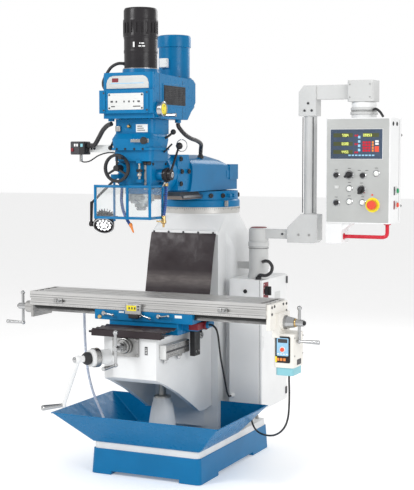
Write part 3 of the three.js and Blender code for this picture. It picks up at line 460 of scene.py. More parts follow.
def tube(name, points, r, look, body, resolution=10, bezier=True):
    """A smooth round tube through points, as a mesh."""
    path = smooth_line([Vector(p) for p in points], resolution) if bezier else [Vector(p) for p in points]
    sides = 16
    bm = bmesh.new()
    before, up = None, None
    for i, p in enumerate(path):
        ahead = (path[min(i + 1, len(path) - 1)] - path[max(i - 1, 0)]).normalized()
        up = (up - ahead * up.dot(ahead)).normalized() if up is not None else ahead.orthogonal().normalized()
        side = ahead.cross(up)
        turns = [2 * math.pi * k / sides for k in range(sides)]
        ring = [bm.verts.new(p + up * (r * math.cos(t)) + side * (r * math.sin(t))) for t in turns]
        if before:
            for k in range(sides):
                bm.faces.new((before[k], before[(k + 1) % sides], ring[(k + 1) % sides], ring[k]))
        else:
            bm.faces.new(ring[::-1])
        before = ring
    bm.faces.new(before)
    return from_bmesh(name, bm, look, body, sharp=50), path


def smooth_line(points, steps):
    """Centripetal Catmull-Rom through the points."""
    line = []
    padded = [points[0] * 2 - points[1], *points, points[-1] * 2 - points[-2]]
    for a, b, c, d in zip(padded, padded[1:], padded[2:], padded[3:]):
        knots = [0.0]
        for p, q in ((a, b), (b, c), (c, d)):
            knots.append(knots[-1] + max(1e-6, (q - p).length) ** 0.5)
        t0, t1, t2, t3 = knots
        for i in range(steps):
            t = t1 + (t2 - t1) * i / steps
            ab = a * ((t1 - t) / (t1 - t0)) + b * ((t - t0) / (t1 - t0))
            bc = b * ((t2 - t) / (t2 - t1)) + c * ((t - t1) / (t2 - t1))
            cd = c * ((t3 - t) / (t3 - t2)) + d * ((t - t2) / (t3 - t2))
            abc = ab * ((t2 - t) / (t2 - t0)) + bc * ((t - t0) / (t2 - t0))
            bcd = bc * ((t3 - t) / (t3 - t1)) + cd * ((t - t1) / (t3 - t1))
            line.append(abc * ((t2 - t) / (t2 - t1)) + bcd * ((t - t1) / (t2 - t1)))
    line.append(points[-1])
    return line


def lever(name, points, r, look, body):
    return tube(name, points, r, look, body, resolution=8)[0]


def knob(name, centre, r, look, body, axis=Z):
    """A ball knob with a flat where its stem enters."""
    profile = [(0.4 * r, -r)]
    for i in range(1, 15):
        t = -math.pi / 2 + math.pi * (i + 1) / 16
        profile.append((r * math.cos(t), r * math.sin(t)))
    profile.append((0, r))
    return lathe(name, [(0, -r), *profile], centre, look, body, axis=axis, sides=28)


# ---- skins for the CAD nodes that keep their shape ----
def skin(node, bevel=1.2, sharp=38):
    """A bevelled, smooth-shaded version of a CAD node, in its place."""
    bm = bmesh.new()
    bm.from_mesh(frame["nodes"][node].data)
    bmesh.ops.remove_doubles(bm, verts=bm.verts, dist=2e-5)
    bmesh.ops.dissolve_limit(bm, angle_limit=math.radians(0.6), verts=bm.verts, edges=bm.edges)
    look = NODE_LOOK.get(node) or LOOK[SLOT[node]]
    obj = from_bmesh(f"{node}_skin", bm, look, BODY[node], bevel=bevel, sharp=sharp, scale=1)
    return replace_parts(obj, node)


LARGE = ["base_casting", "column", "knee", "ram", "ram_adapter", "head_casting", "belt_housing", "saddle",
         "electrical_cabinet"]
RESHAPED = {
    "column_way_cover", "front_way_cover", "drawbar_unit", "drive_motor", "coolant_hose",
    "switch_conduit", "drawbar_hose", "head_conduit", "drain_hose", "saddle_cable", "feed_cable",
    "arm_conduit", "guard_pane_left", "guard_pane_front", "guard_pane_right", "lamp_head",
    "fine_feed_handwheel", "switch_box",
}
for cad_node in frame["nodes"]:
    if cad_node not in RESHAPED:
        skin(cad_node, bevel=3.0 if cad_node in LARGE else 1.2, sharp=46 if "crank" in cad_node else 38)
for pane in ("guard_pane_left", "guard_pane_front", "guard_pane_right"):
    skin(pane, bevel=0.4)


# ---- hoses and cables ----
def held_hose(node, points, r, look):
    made, _ = tube(f"{node}_round", points, r, look, BODY[node])
    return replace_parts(made, node)


def free_cord(node, points, r, look, between=None):
    """A free cord along the route; one that runs between two bodies is left on neither body, fixed in world
    space.
    """
    body = None if between else BODY[node]
    made, path = tube(f"{node}_round", points, r, look, body, resolution=8)
    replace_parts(made, node)
    if between:
        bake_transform(made)
    return made


GAP = 0.35
DRAIN_ROUTE = [
    (-517, -193, 872 - GAP), (-517, -193, 840), (-516, -193, 780), (-514, -194, 710), (-509, -196, 630),
    (-500, -200, 550), (-484, -207, 475), (-460, -218, 410), (-430, -232, 355), (-400, -245, 310),
    (-372, -256, 270), (-352, -263, 238),
]
SADDLE_ROUTE = [
    (310 + GAP, -330, 812), (325, -330, 812), (340, -328, 803), (349, -322, 786), (352, -312, 760),
    (350, -296, 720), (345, -272, 670), (338, -240, 615), (330, -200, 560), (320, -155, 500),
    (306, -105, 450), (292, -60, 412), (281, -18, 386), (273, 12, 373), (272, 34, 372),
]
FEED_ROUTE = [
    (745, -310, 578 - GAP), (745, -310, 550), (746, -308, 500), (743, -302, 430), (733, -288, 365),
    (710, -264, 312), (670, -224, 268), (615, -168, 232), (552, -102, 208), (490, -38, 196),
    (435, 22, 194), (393, 76, 202), (366, 112, 222), (351, 140, 248), (350, 142, 270),
]
HEAD_ROUTE = [
    (118, -300, 1850), (120, -300, 1836), (132, -262, 1800), (136, -190, 1775), (132, -100, 1762),
    (118, -20, 1744), (98, 20, 1718), (90, 34, 1696),
]

free_cord("drain_hose", DRAIN_ROUTE, 7, TUBE, ("table", "saddle"))
free_cord("saddle_cable", SADDLE_ROUTE, 5, BLACK_MATT, ("knee", "base"))
free_cord("feed_cable", FEED_ROUTE, 5, BLACK_MATT, ("table", "saddle"))
free_cord("head_conduit", HEAD_ROUTE, 11, RIBBED)
held_hose("coolant_hose", [(-88, -530, 1529), (-88, -530, 1502), (-82, -545, 1455), (-66, -556, 1405),
                           (-42, -562, 1360), (-14, -568, 1325)], 8, SEGMENT)
held_hose("switch_conduit", [(-289, -500, 1735), (-268, -500, 1736), (-236, -512, 1768), (-196, -532, 1812),
                             (-158, -550, 1836), (-130, -560, 1844)], 12, RIBBED)
held_hose("drawbar_hose", [(-84, -495, 2150), (-118, -510, 2150), (-150, -522, 2132), (-174, -530, 2096),
                           (-190, -536, 2056), (-184, -539, 2030), (-172, -540, 2020), (-157, -540, 2020)],
          8, RIBBED)
held_hose("arm_conduit", [(436, 94, 1110), (456, 78, 1116), (484, 64, 1112), (503, 58, 1088),
                          (497, 56, 1058), (470, 56, 1040), (435, 60, 1040), (424, 67, 1036),
                          (420, 68, 1028), (420, 68, 1016)], 9, RIBBED)
lathe("coolant_nozzle", [(0, -16), (8.6, -16), (9.5, -10), (9.5, -4), (7.5, 0), (5, 22), (4, 34), (2.5, 34),
                         (2.4, 28), (0, 28)], (-14, -568, 1325), ORANGE, "head",
      axis=(0.45, -0.15, -0.88), sides=20)


# ---- readout panel on the swing arm ----
PANEL_LO, PANEL_HI = ends("control_box")
FACE_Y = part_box("control_box")[0].y / MM + 4
SIDE_X = PANEL_HI.x
STOP_LO, STOP_HI = ends("emergency_stop")
STOP_X, STOP_Z = (STOP_LO.x + STOP_HI.x) / 2, (STOP_LO.z + STOP_HI.z) / 2
SEGMENTS = {"0": "abcdef", "1": "bc", "2": "abged", "3": "abgcd", "4": "fgbc", "5": "afgcd", "7": "abc",
            "8": "abcdefg", "-": "g"}


def digits(name, text, x, y, z, tall, look, body):
    """Lit numerals in seven bars each, standing on a face that looks along -Y."""
    wide, bar = tall * 0.5, tall * 0.13
    bars = {"a": (0, tall - bar, wide, tall), "g": (0, tall / 2 - bar / 2, wide, tall / 2 + bar / 2),
            "d": (0, 0, wide, bar), "f": (0, tall / 2, bar, tall), "b": (wide - bar, tall / 2, wide, tall),
            "e": (0, 0, bar, tall / 2), "c": (wide - bar, 0, wide, tall / 2)}
    boxes = []
    for place, sign in enumerate(text):
        left = x + place * wide * 1.45
        for key in SEGMENTS[sign]:
            u0, v0, u1, v1 = bars[key]
            boxes.append(((left + u0, y - 0.6, z + v0), (left + u1, y, z + v1)))
    return slabs(name, boxes, look, body, bevel=0)


def panel_face():
    plate = rounded(PANEL_LO.x + 8, 1339, PANEL_HI.x - 6, 1871, 4)
    outline_plate("panel_plate", plate, "Y", FACE_Y - 1.6, 1.6, BRUSHED, "panel", bevel=0.4)
    screen_y = FACE_Y - 1.2
    outline_plate("screen_glass", rounded(847, 1675, 1107, 1809, 3), "Y", screen_y - 2.6, 1.2, SLATE,
                  "panel", bevel=0.2)
    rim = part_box("control_box")[0].y / MM
    frame_bars = [((838, rim - 0.6, 1666), (1116, rim, 1675)), ((838, rim - 0.6, 1809), (1116, rim, 1818)),
                  ((838, rim - 0.6, 1675), (847, rim, 1809)), ((1107, rim - 0.6, 1675), (1116, rim, 1809))]
    slabs("screen_frame", frame_bars, SLATE, "panel", bevel=0.3)
    rows = [(1781, "7204"), (1737, "0000"), (1695, "4450")]
    face = screen_y - 2.6
    for i, (z, text) in enumerate(rows):
        slabs(f"readout_window_{i}", [((853, face - 0.3, z - 4), (958, face, z + 17))], OLIVE, "panel",
              bevel=0.2)
        digits(f"readout_{i}", text, 899, face - 0.3, z, 13, DIGIT, "panel")
        slabs(f"axis_key_{i}", [((968 + 11 * k, face - 0.8, z), (976 + 11 * k, face, z + 9))
                                for k in range(2)], RED, "panel", bevel=0.3)
    slabs("readout_window_3", [((1012, face - 0.3, 1777), (1098, face, 1798))], OLIVE, "panel", bevel=0.2)
    digits("readout_3", "08853", 1014, face - 0.3, 1781, 13, DIGIT, "panel")
    keys = [((1011 + 15 * i, face - 1.2, 1703 + 14 * k), (1023 + 15 * i, face, 1714 + 14 * k))
            for i in range(3) for k in range(4)]
    slabs("red_keys", keys, RED, "panel", bevel=0.4)
    slabs("amber_keys", [((1060, face - 1.2, 1703 + 14 * k), (1070, face, 1714 + 14 * k))
                         for k in range(4)], ORANGE, "panel", bevel=0.4)
    slabs("white_keys", [((1078, face - 1.2, 1738 + 13 * k), (1096, face, 1748 + 13 * k))
                         for k in range(2)], WHITE, "panel", bevel=0.4)
    slabs("enter_key", [((1075, face - 1.2, 1702), (1098, face, 1731))], RED_BUTTON, "panel", bevel=0.5)
    slabs("blue_keys", [((986, face - 0.9, 1705 + 22 * k), (999, face, 1718 + 22 * k)) for k in range(4)],
          SKY, "panel", bevel=0.4)
    slabs("lower_keys", [((935 + 18 * k, face - 0.9, 1681), (948 + 18 * k, face, 1688)) for k in range(8)],
          SKY, "panel", bevel=0.3)


def panel_controls():
    """Push buttons, selectors and pilot lamps, each on a chrome bezel."""
    front = -Y
    face = FACE_Y - 1.6
    rings = [(0, 0), (18, 0), (18, 2), (15.5, 4), (0, 4)]
    cap = [(0, 0), (12.5, 0), (12.5, 8), (11, 10), (0, 9)]
    lens = [(0, 0), (12.5, 0), (12.5, 4), (9, 9), (4, 11), (0, 11.5)]
    for i, (x, z) in enumerate([(870, 1582), (1013, 1581), (871, 1439)]):
        lathe(f"bezel_{i}", rings, (x, face, z), CHROME, "panel", axis=front, sides=32)
        lathe(f"black_button_{i}", cap, (x, face - 3.6, z), BLACK_MATT, "panel", axis=front, sides=32)
    for i, (x, z, turn) in enumerate([(940, 1584, 60), (1006, 1507, 25)]):
        lathe(f"selector_bezel_{i}", [(0, 0), (24, 0), (24, 2), (21, 5), (0, 5)], (x, face, z), CHROME,
              "panel", axis=front, sides=32)
        lathe(f"selector_disc_{i}", [(0, 0), (17, 0), (17, 9), (15, 11), (0, 11)], (x, face - 4.6, z),
              BLACK_MATT, "panel", axis=front, sides=32)
        place = Matrix.Translation((x, face - 15, z)) @ Matrix.Rotation(math.radians(turn), 4, "Y")
        slab(f"selector_grip_{i}", (-6, -14, -23), (6, 0, 20), BLACK_MATT, "panel", bevel=2, place=place)
    for i, (x, z) in enumerate([(1085, 1592), (941, 1513), (942, 1446), (1012, 1442)]):
        lathe(f"lamp_bezel_{i}", rings, (x, face, z), CHROME, "panel", axis=front, sides=32)
        lathe(f"pilot_lens_{i}", lens, (x, face - 3.6, z), LENS_WHITE, "panel", axis=front, sides=32)
    slabs("key_switch", [((862, face - 5, 1512), (884, face, 1528))], PLATE, "panel", bevel=1)
    marks = [(870, 1608), (940, 1616), (993, 1606), (1034, 1606), (1085, 1618), (941, 1543), (1006, 1541),
             (870, 1467), (941, 1474), (1012, 1470)]
    slabs("panel_marks", [((x - 8, face - 0.3, z), (x + 8, face, z + 2.6)) for x, z in marks], INK, "panel",
          bevel=0)
    lathe("stop_surround", [(14.5, 0), (38, 0), (38, 1.2), (35, 2.4), (27, 2.4), (26, 0.8), (14.5, 0.8),
                            (14.5, 0)], (STOP_X, face, STOP_Z), YELLOW, "panel", axis=front, sides=40)
    lathe("stop_mark", [(0, 0), (5, 0), (5, 0.6), (0, 0.6)], (STOP_X - 2, face, STOP_Z + 52), RED_BUTTON,
          "panel", axis=front, sides=20)


def panel_sides():
    mid = (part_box("start_button")[0].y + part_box("start_button")[1].y) / 2 / MM
    for name in ("start", "stop"):
        lo, hi = ends(f"{name}_button")
        z = (lo.z + hi.z) / 2
        lathe(f"{name}_collar", [(13.6, 0), (21, 0), (21, 4), (18, 6), (13.6, 6), (13.6, 0)],
              (SIDE_X, mid, z), PLATE, "panel", axis=X, sides=32)
        slab(f"{name}_plate", (SIDE_X, mid - 46, z - 22), (SIDE_X + 1.2, mid - 23, z + 22),
             DARK_RED if name == "stop" else INK, "panel", bevel=0.4)
    for i, y in enumerate((82, 150)):
        lathe(f"side_plug_{i}", [(0, 0), (11, 0), (11, 2.5), (8, 4), (0, 4)], (SIDE_X, y, 1846), BLACK_MATT,
              "panel", axis=X, sides=24)
    slabs("side_seam", [((SIDE_X - 0.6, PANEL_HI.y - 46, 1345), (SIDE_X + 0.5, PANEL_HI.y - 44.5, 1866))],
          INK, "panel", bevel=0)
    lathe("neck_rings", [(66.5, 0), (72, 0), (72, 12), (68, 14), (66.5, 14), (66.5, 22), (70, 24), (70, 34),
                         (66.5, 36), (66.5, 0)], (984, 135, 1896), ARM_GREY, "panel", sides=48)
    lever("neck_clamp", [(1048, 92, 1920), (1066, 78, 1922), (1092, 62, 1906), (1112, 50, 1882)], 6.5,
          BLACK_MATT, "panel")
    screws("box_hinges", [(PANEL_HI.x - 4, PANEL_HI.y + 0.2, z) for z in (1420, 1790)], Y, 8, 3, STEEL,
           "panel")
    lathe("handle_foot", [(10.2, 0), (19, 0), (19, 4), (14, 8), (10.2, 8), (10.2, 0)], (1132, 78, 1333),
          RED, "panel", axis=-Z, sides=28)
    lathe("handle_socket", [(10.2, 0), (17, 0), (17, 3), (12, 6), (10.2, 6), (10.2, 0)], (898, 78, 1262),
          RED, "panel", axis=X, sides=28)


def arm_details():
    screws("elbow_screws", [(690 + dx, 92.6, z) for dx, z in ((0, 1958), (-20, 1920), (20, 1920))], -Y, 6.5,
           3, INK, "arm")
    screws("lower_elbow_screws", [(640, 92.6, 1262), (700, 92.6, 1262)], -Y, 6, 3, STEEL, "arm")
    slabs("riser_grooves", [((656 + 58 * k, 101, 1380), (660 + 58 * k, 105, 1886)) for k in (0, 1)], INK,
          "arm", bevel=0.4)
    lathe("hub_cap", [(0, 0), (44, 0), (44, 2.5), (40, 4), (0, 4)], (393, 135, 1292), DARK_RED, "arm",
          sides=40)
    lathe("post_joint", [(53.4, 0), (56.5, 0), (56.5, 2), (53.4, 2), (53.4, 0)], (393, 135, 1180), INK,
          "base", sides=40)
    screws("arm_screws", [(540, 110.5, 1262)], -Y, 6, 3, INK, "arm")
    outline_plate("head_cover", rounded(916, 1974, 1044, 2060, 10), "Y", 72.5, 1.6, ARM_GREY, "arm",
                  bevel=0.5)
    screws("head_cover_screws", [(x, 72.5, z) for x in (926, 1034) for z in (1984, 2050)], -Y, 4, 1.6,
           STEEL, "arm")


panel_face()
panel_controls()
panel_sides()
arm_details()


# ---- top of the head: power drawbar, motor and belt housing ----
def drawbar_look():
    lo, hi = ends("drawbar_unit")
    foot, top = lo.z, hi.z
    profile = [(0, 0), (82, 0), (84, 5), (84, 78), (86, 82), (86, 92), (84.5, 96), (84.5, 150), (86, 153),
               (86, 160), (88.5, 162), (88.5, 176), (84, 182), (84, 226), (88.5, 234), (88.5, 246),
               (85.5, 250), (85.5, top - foot - 14), (80, top - foot - 2), (70, top - foot),
               (0, top - foot)]
    bm = bmesh.new()
    centre = Vector(((lo.x + hi.x) / 2, (lo.y + hi.y) / 2, foot))
    add_lathe(bm, profile, centre, sides=72)
    for i in range(22):
        place = Matrix.Translation(centre) @ Matrix.Rotation(2 * math.pi * i / 22, 4, "Z")
        add_box(bm, (82, -6.5, 166), (88.8, 6.5, 242), place)
    made = from_bmesh("drawbar_unit_body", bm, BLACK_GLOSS, "head", bevel=1.2)
    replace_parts(made, "drawbar_unit")
    screws("drawbar_feet", [(centre.x + 78 * math.cos(a), centre.y + 78 * math.sin(a), foot + 0.5) for a in
                            [math.radians(45 + 90 * k) for k in range(4)]], Z, 5, 4, STEEL, "head")
    lathe("drawbar_base_ring", [(83, 0), (91, 0), (91, 3), (89, 4), (83, 4), (83, 0)],
          (centre.x, centre.y, foot), STEEL, "head", sides=60)
    turn = math.radians(-68)
    place = Matrix.Translation(centre) @ Matrix.Rotation(turn, 4, "Z")
    slabs("drawbar_marks", [((84.8, -30, 106), (85.4, -22, 132)), ((84.8, 2, 122), (85.4, 8, 128)),
                            ((84.2, 12, 122), (84.8, 26, 128)), ((84.6, -2, 108), (85.3, 12, 114)),
                            ((83.4, 16, 108), (84.2, 30, 114))], WHITE, "head", bevel=0, place=place)
    lathe("hose_union", [(0, 0), (13, 0), (13, 6), (10, 8), (10, 16), (0, 16)], (-78, -490, 2150),
          BLACK_MATT, "head", axis=(-1, -0.1, 0), sides=24)


def motor_look():
    lo, hi = ends("drive_motor")
    centre = Vector(((lo.x + hi.x) / 2, (lo.y + hi.y) / 2, lo.z))
    tall = hi.z - lo.z
    profile = [(0, 0), (82, 0), (83, 3), (83, 168), (85, 170), (88.6, 171), (89, 174), (89, tall - 12),
               (86, tall - 3), (80, tall), (30, tall), (28, tall - 3), (0, tall - 3)]
    made = lathe("drive_motor_body", profile, centre, SHEET_BLUE, "head", sides=72)
    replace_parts(made, "drive_motor")
    slots = bmesh.new()
    for ring, count in ((40, 12), (56, 16), (70, 20)):
        for i in range(count):
            place = Matrix.Translation(centre) @ Matrix.Rotation(2 * math.pi * i / count, 4, "Z")
            add_box(slots, (ring - 5, -2, tall - 2), (ring + 5, 2, tall + 0.2), place)
    from_bmesh("fan_slots", slots, INK, "head")
    lathe("motor_flange", [(83.2, 0), (95, 0), (95, 8), (92, 10), (83.2, 10), (83.2, 0)],
          (centre.x, centre.y, lo.z - 2), SHEET_BLUE, "head", sides=60)
    slab("terminal_box", (-40, centre.y - 101, 2146), (8, centre.y - 70, 2196), SHEET_GREY, "head", bevel=4)
    slab("terminal_lid", (-37, centre.y - 104, 2149), (5, centre.y - 100.5, 2193), PLATE, "head", bevel=1)
    screws("motor_bolts", [(centre.x + 89 * math.cos(a), centre.y + 89 * math.sin(a), lo.z + 8)
                           for a in [math.radians(45 + 90 * k) for k in range(4)]], Z, 6, 5, BLACK_MATT,
           "head")


def housing_look():
    front, upper = -646, -624
    arch = [(-120, 2016), (118, 2016), (118, 2042), (113, 2062), (100, 2075), (84, 2080), (-84, 2080),
            (-102, 2074), (-115, 2060), (-120, 2042)]
    outline_plate("upper_plate", arch, "Y", upper - 2.2, 2.2, BRUSHED, "head", bevel=0.8)
    outline_plate("upper_rule", rounded(-96, 2040, 92, 2044, 1.5, 2), "Y", upper - 2.6, 0.6, SKY, "head",
                  bevel=0)
    outline_plate("upper_motif", rounded(-88, 2048, -52, 2068, 3), "Y", upper - 2.6, 0.6, DARK_RED, "head",
                  bevel=0)
    outline_plate("speed_plate", rounded(-100, 1910, 100, 1992, 5), "Y", front - 2, 2, PLATE, "head",
                  bevel=0.5)
    for side in (-1, 1):
        outline_plate(f"panel_rib_{side}", rounded(side * 122 - 8, 1897, side * 122 + 8, 2004, 4), "Y",
                      front - 5, 5, SHEET_BLUE, "head", bevel=1.5)
    screws("speed_plate_screws", [(x, front - 2, z) for x in (-92, 92) for z in (1918, 1984)], -Y, 4.5, 2,
           INK, "head")
    screws("panel_screws", [(x, front - 5, z) for x in (-122, 122) for z in (1908, 1994)], -Y, 4.5, 2.4,
           INK, "head")
    glyphs = [((-78, 1950), 14), ((-52, 1950), 8), ((-8, 1950), 7), ((20, 1950), 9), ((46, 1950), 7),
              ((74, 1950), 14)]
    slabs("speed_glyphs", [((x - w / 2, front - 2.4, z - 4), (x + w / 2, front - 2, z + 5))
                           for (x, z), w in glyphs], INK, "head", bevel=0)
    slabs("speed_lines", [((-82, front - 2.4, 1924), (-60, front - 2, 1929)),
                          ((42, front - 2.4, 1924), (84, front - 2, 1929))], INK, "head", bevel=0)
    side = 144
    outline_plate("vent_frame", rounded(-524, 1930, -262, 2044, 6), "X", side, 2, SHEET_BLUE, "head",
                  bevel=0.6)
    outline_plate("vent_mesh", rounded(-515, 1939, -271, 2035, 3), "X", side + 2, 0.8, INK, "head", bevel=0)
    slats = [((side + 2.8, -513, 1941 + 9 * k), (side + 5, -273, 1945 + 9 * k)) for k in range(11)]
    uprights = [((side + 2.8, -512 + 15.7 * k, 1940), (side + 4.4, -508 + 15.7 * k, 2034)) for k in range(16)]
    slabs("vent_slats", slats + uprights, BLACK_MATT, "head", bevel=0.3)
    slabs("housing_seams", [((-144.5, -560, 1889), (144.5, -558.5, 2086)),
                            ((-144.5, -300, 1872), (144.5, -298.5, 2066))], INK, "head", bevel=0)
    lo = ends("speed_handwheel")[0]
    lathe("speed_disc", [(0, 0), (27, 0), (27, 1.6), (22, 2.6), (0, 2.6)], (lo.x + 22, -585, 1913), YELLOW,
          "speed_wheel", axis=X, sides=40)
    lathe("speed_rim", [(27, 0), (37.6, 0), (37.8, 3), (33, 6), (28, 4), (27, 0)], (lo.x + 21, -585, 1913),
          CHROME, "speed_wheel", axis=X, sides=40)
    slabs("speed_marks", [((lo.x + 24.4, -588, 1922), (lo.x + 25, -582, 1932)),
                          ((lo.x + 24.4, -599, 1905), (lo.x + 25, -592, 1908))], INK, "speed_wheel",
          bevel=0)


drawbar_look()
motor_look()
housing_look()


# ---- rubber covers over the ways ----
def cover_sheet(name, line, half, thick, look, wave):
    """A rubber sheet along a line of (y, z) points, with soft waves across it."""
    path = smooth_line([Vector((0, y, z)) for y, z in line], 10)
    columns = 28
    bm = bmesh.new()
    layers = []
    for side in (0, 1):
        rows = []
        for i, p in enumerate(path):
            ahead = (path[min(i + 1, len(path) - 1)] - path[max(i - 1, 0)]).normalized()
            out = ahead.cross(X).normalized()
            row = []
            for k in range(columns + 1):
                x = half * (2 * k / columns - 1)
                lift = wave(x / half, i / (len(path) - 1)) + side * thick
                row.append(bm.verts.new(p + X * x + out * lift))
            rows.append(row)
        layers.append(rows)
    low, high = layers
    last = len(path) - 1
    for i in range(last):
        for k in range(columns):
            bm.faces.new((low[i][k], low[i][k + 1], low[i + 1][k + 1], low[i + 1][k]))
            bm.faces.new((high[i][k], high[i + 1][k], high[i + 1][k + 1], high[i][k + 1]))
        for k in (0, columns):
            bm.faces.new((low[i][k], low[i + 1][k], high[i + 1][k], high[i][k]))
    for i in (0, last):
        for k in range(columns):
            bm.faces.new((low[i][k], low[i][k + 1], high[i][k + 1], high[i][k]))
    return from_bmesh(name, bm, look, None, sharp=55)


def way_covers():
    def sag(u, v):
        return 1.6 * math.sin(2.2 * math.pi * v + 0.5) + 1.4 * u * u * math.sin(math.pi * v)

    line = [(9, 1264), (-1, 1232), (-16, 1182), (-33, 1118), (-52, 1030), (-71, 944), (-80, 880), (-84, 802)]
    apron = cover_sheet("column_apron", line, 196, 3.2, APRON, sag)
    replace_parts(apron, "column_way_cover")
    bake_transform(apron)
    slab("apron_strip", (-199, 3.5, 1254), (199, 19.4, 1274), SHEET_GREY, "base", bevel=1.5)
    screws("apron_screws", [(x, 3.5, 1264) for x in (-180, -90, 0, 90, 180)], -Y, 6, 3, INK, "base")

    def pleat(u, v):
        return 3.6 * math.sin(7 * math.pi * v + 0.8 * u) - 3.2 * (1 - u * u) * math.sin(math.pi * v)

    front = cover_sheet("front_apron", [(-482, 800), (-540, 799), (-600, 798), (-652, 798)], 198, 6, APRON,
                        pleat)
    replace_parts(front, "front_way_cover")
    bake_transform(front)
    slab("front_apron_lip", (-199, -660, 770), (199, -655, 802), RUBBER, "knee", bevel=2)
    slab("front_apron_under", (-190, -654, 769), (190, -600, 775), RUBBER, "knee", bevel=2)
    lathe("front_apron_rod", [(0, 0), (5, 0), (6, 2), (6, 428), (5, 430), (0, 430)], (-215, -652, 790),
          BLACK_GLOSS, "knee", axis=X, sides=24)


way_covers()


# ---- table, saddle and knee ----
def table_details():
    front, top = -478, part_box("table")[1].z / MM
    for i, x in enumerate((-505, 455)):
        slab(f"stop_dog_{i}", (x - 26, front - 9, 902), (x + 26, front - 0.4, 924), STEEL, "table", bevel=2)
        lathe(f"stop_dog_bolt_{i}", [(0, 0), (9, 0), (9, 9), (7, 11), (0, 11)], (x - 10, front - 9, 913),
              STEEL, "table", axis=-Y, sides=6, sharp=20)
        lathe(f"stop_dog_post_{i}", [(0, 0), (6, 0), (6, 20), (5, 22), (0, 22)], (x + 14, front - 9, 913),
              CHROME, "table", axis=-Y, sides=24)
    slabs("front_edges", [((-684, front - 0.6, z), (684, front - 0.1, z + 1.6)) for z in (896, 926, 938)],
          INK, "table", bevel=0)
    ticks = [((-560 + 10 * k, front - 0.5, 885), (-559 + 10 * k, front - 0.1, 889 + 3 * (k % 5 == 0)))
             for k in range(112)]
    slabs("travel_scale", ticks, INK, "table", bevel=0)
    for i, x in enumerate((-659, 659)):
        bars = [((x - 9, -330 + 9 * k, top - 5), (x + 9, -326 + 9 * k, top - 3)) for k in range(9)]
        slabs(f"strainer_{i}", [((x - 10, -332, top - 7), (x + 10, -246, top - 5)), *bars], INK, "table",
              bevel=0.3)
    spots = [(707.4, y, z) for y, z in ((-452, 936), (-418, 938), (-452, 902), (-300, 938), (-256, 936),
                                        (-256, 900))]
    screws("end_plate_screws", spots, X, 7, 3, INK, "table")
    spots = [(-700.4, y, z) for y in (-434, -268) for z in (826, 886)]
    screws("left_plate_screws", spots, -X, 6.5, 4, BLACK_MATT, "table")
    lathe("right_dial_scale", [(33.1, 0), (34.2, 0.4), (34.2, 9.6), (33.1, 10), (33.1, 0)],
          (739, -351, 854), STEEL, "leadscrew", axis=X, sides=60)
    place = Matrix.Translation((0, -351, 854))
    marks = bmesh.new()
    for i in range(50):
        tick = place @ Matrix.Rotation(2 * math.pi * i / 50, 4, "X")
        add_box(marks, (741, -0.4, 34.1), (745 + 2 * (i % 5 == 0), 0.4, 34.5), tick)
    from_bmesh("right_dial_ticks", marks, INK, "leadscrew")
    lathe("right_crank_collar", [(14, 0), (21, 0), (21, 7), (14, 7), (14, 0)], (792, -351, 854), BRASS,
          "leadscrew", axis=X, sides=40)
    screws("crank_nuts", [(838, -351, 854)], X, 11, 8, BLACK_MATT, "leadscrew")
    screws("left_crank_nuts", [(-838, -351, 854)], -X, 11, 8, BLACK_MATT, "leadscrew")


def feed_panel():
    y = -392
    outline_plate("feed_panel", rounded(702, 655, 782, 788, 8), "Y", y - 2, 2, BLACK_GLOSS, "table",
                  bevel=0.8)
    outline_plate("feed_panel_face", rounded(711, 690, 773, 780, 5), "Y", y - 2.6, 0.6, SKY, "table",
                  bevel=0.2)
    outline_plate("feed_display", rounded(717, 756, 767, 775, 3), "Y", y - 3.2, 0.6, INK, "table", bevel=0.2)
    lathe("feed_knob_ring", [(0, 0), (15, 0), (15, 0.8), (0, 0.8)], (741, y - 2.6, 722), WHITE, "table",
          axis=-Y, sides=32)
    lathe("feed_knob", [(0, 0), (10, 0), (10, 7), (8, 9), (0, 9)], (741, y - 3.4, 722), RED_BUTTON, "table",
          axis=-Y, sides=28)
    slabs("feed_marks", [((714 + 15 * k, y - 3, 697), (724 + 15 * k, y - 2.5, 702)) for k in range(4)],
          WHITE, "table", bevel=0)
    slabs("feed_switches", [((712 + 17 * k, y - 5, 665), (725 + 17 * k, y - 2, 679)) for k in range(3)],
          ORANGE, "table", bevel=1)
    slab("feed_yellow_tag", (703, y - 2.8, 657), (712, y - 2, 686), YELLOW, "table", bevel=0.3)
    slab("feed_side_label", (800, -345, 640), (800.6, -287, 668), INK, "table", bevel=0.2)
    screws("feed_motor_screws", [(800, y2, z) for y2 in (-378, -262) for z in (780, 690)], X, 4.5, 2, STEEL,
           "table")
    slabs("feed_vents", [((730 + 8 * k, -247.8, 660), (733 + 8 * k, -247.2, 740)) for k in range(6)], INK,
          "table", bevel=0)


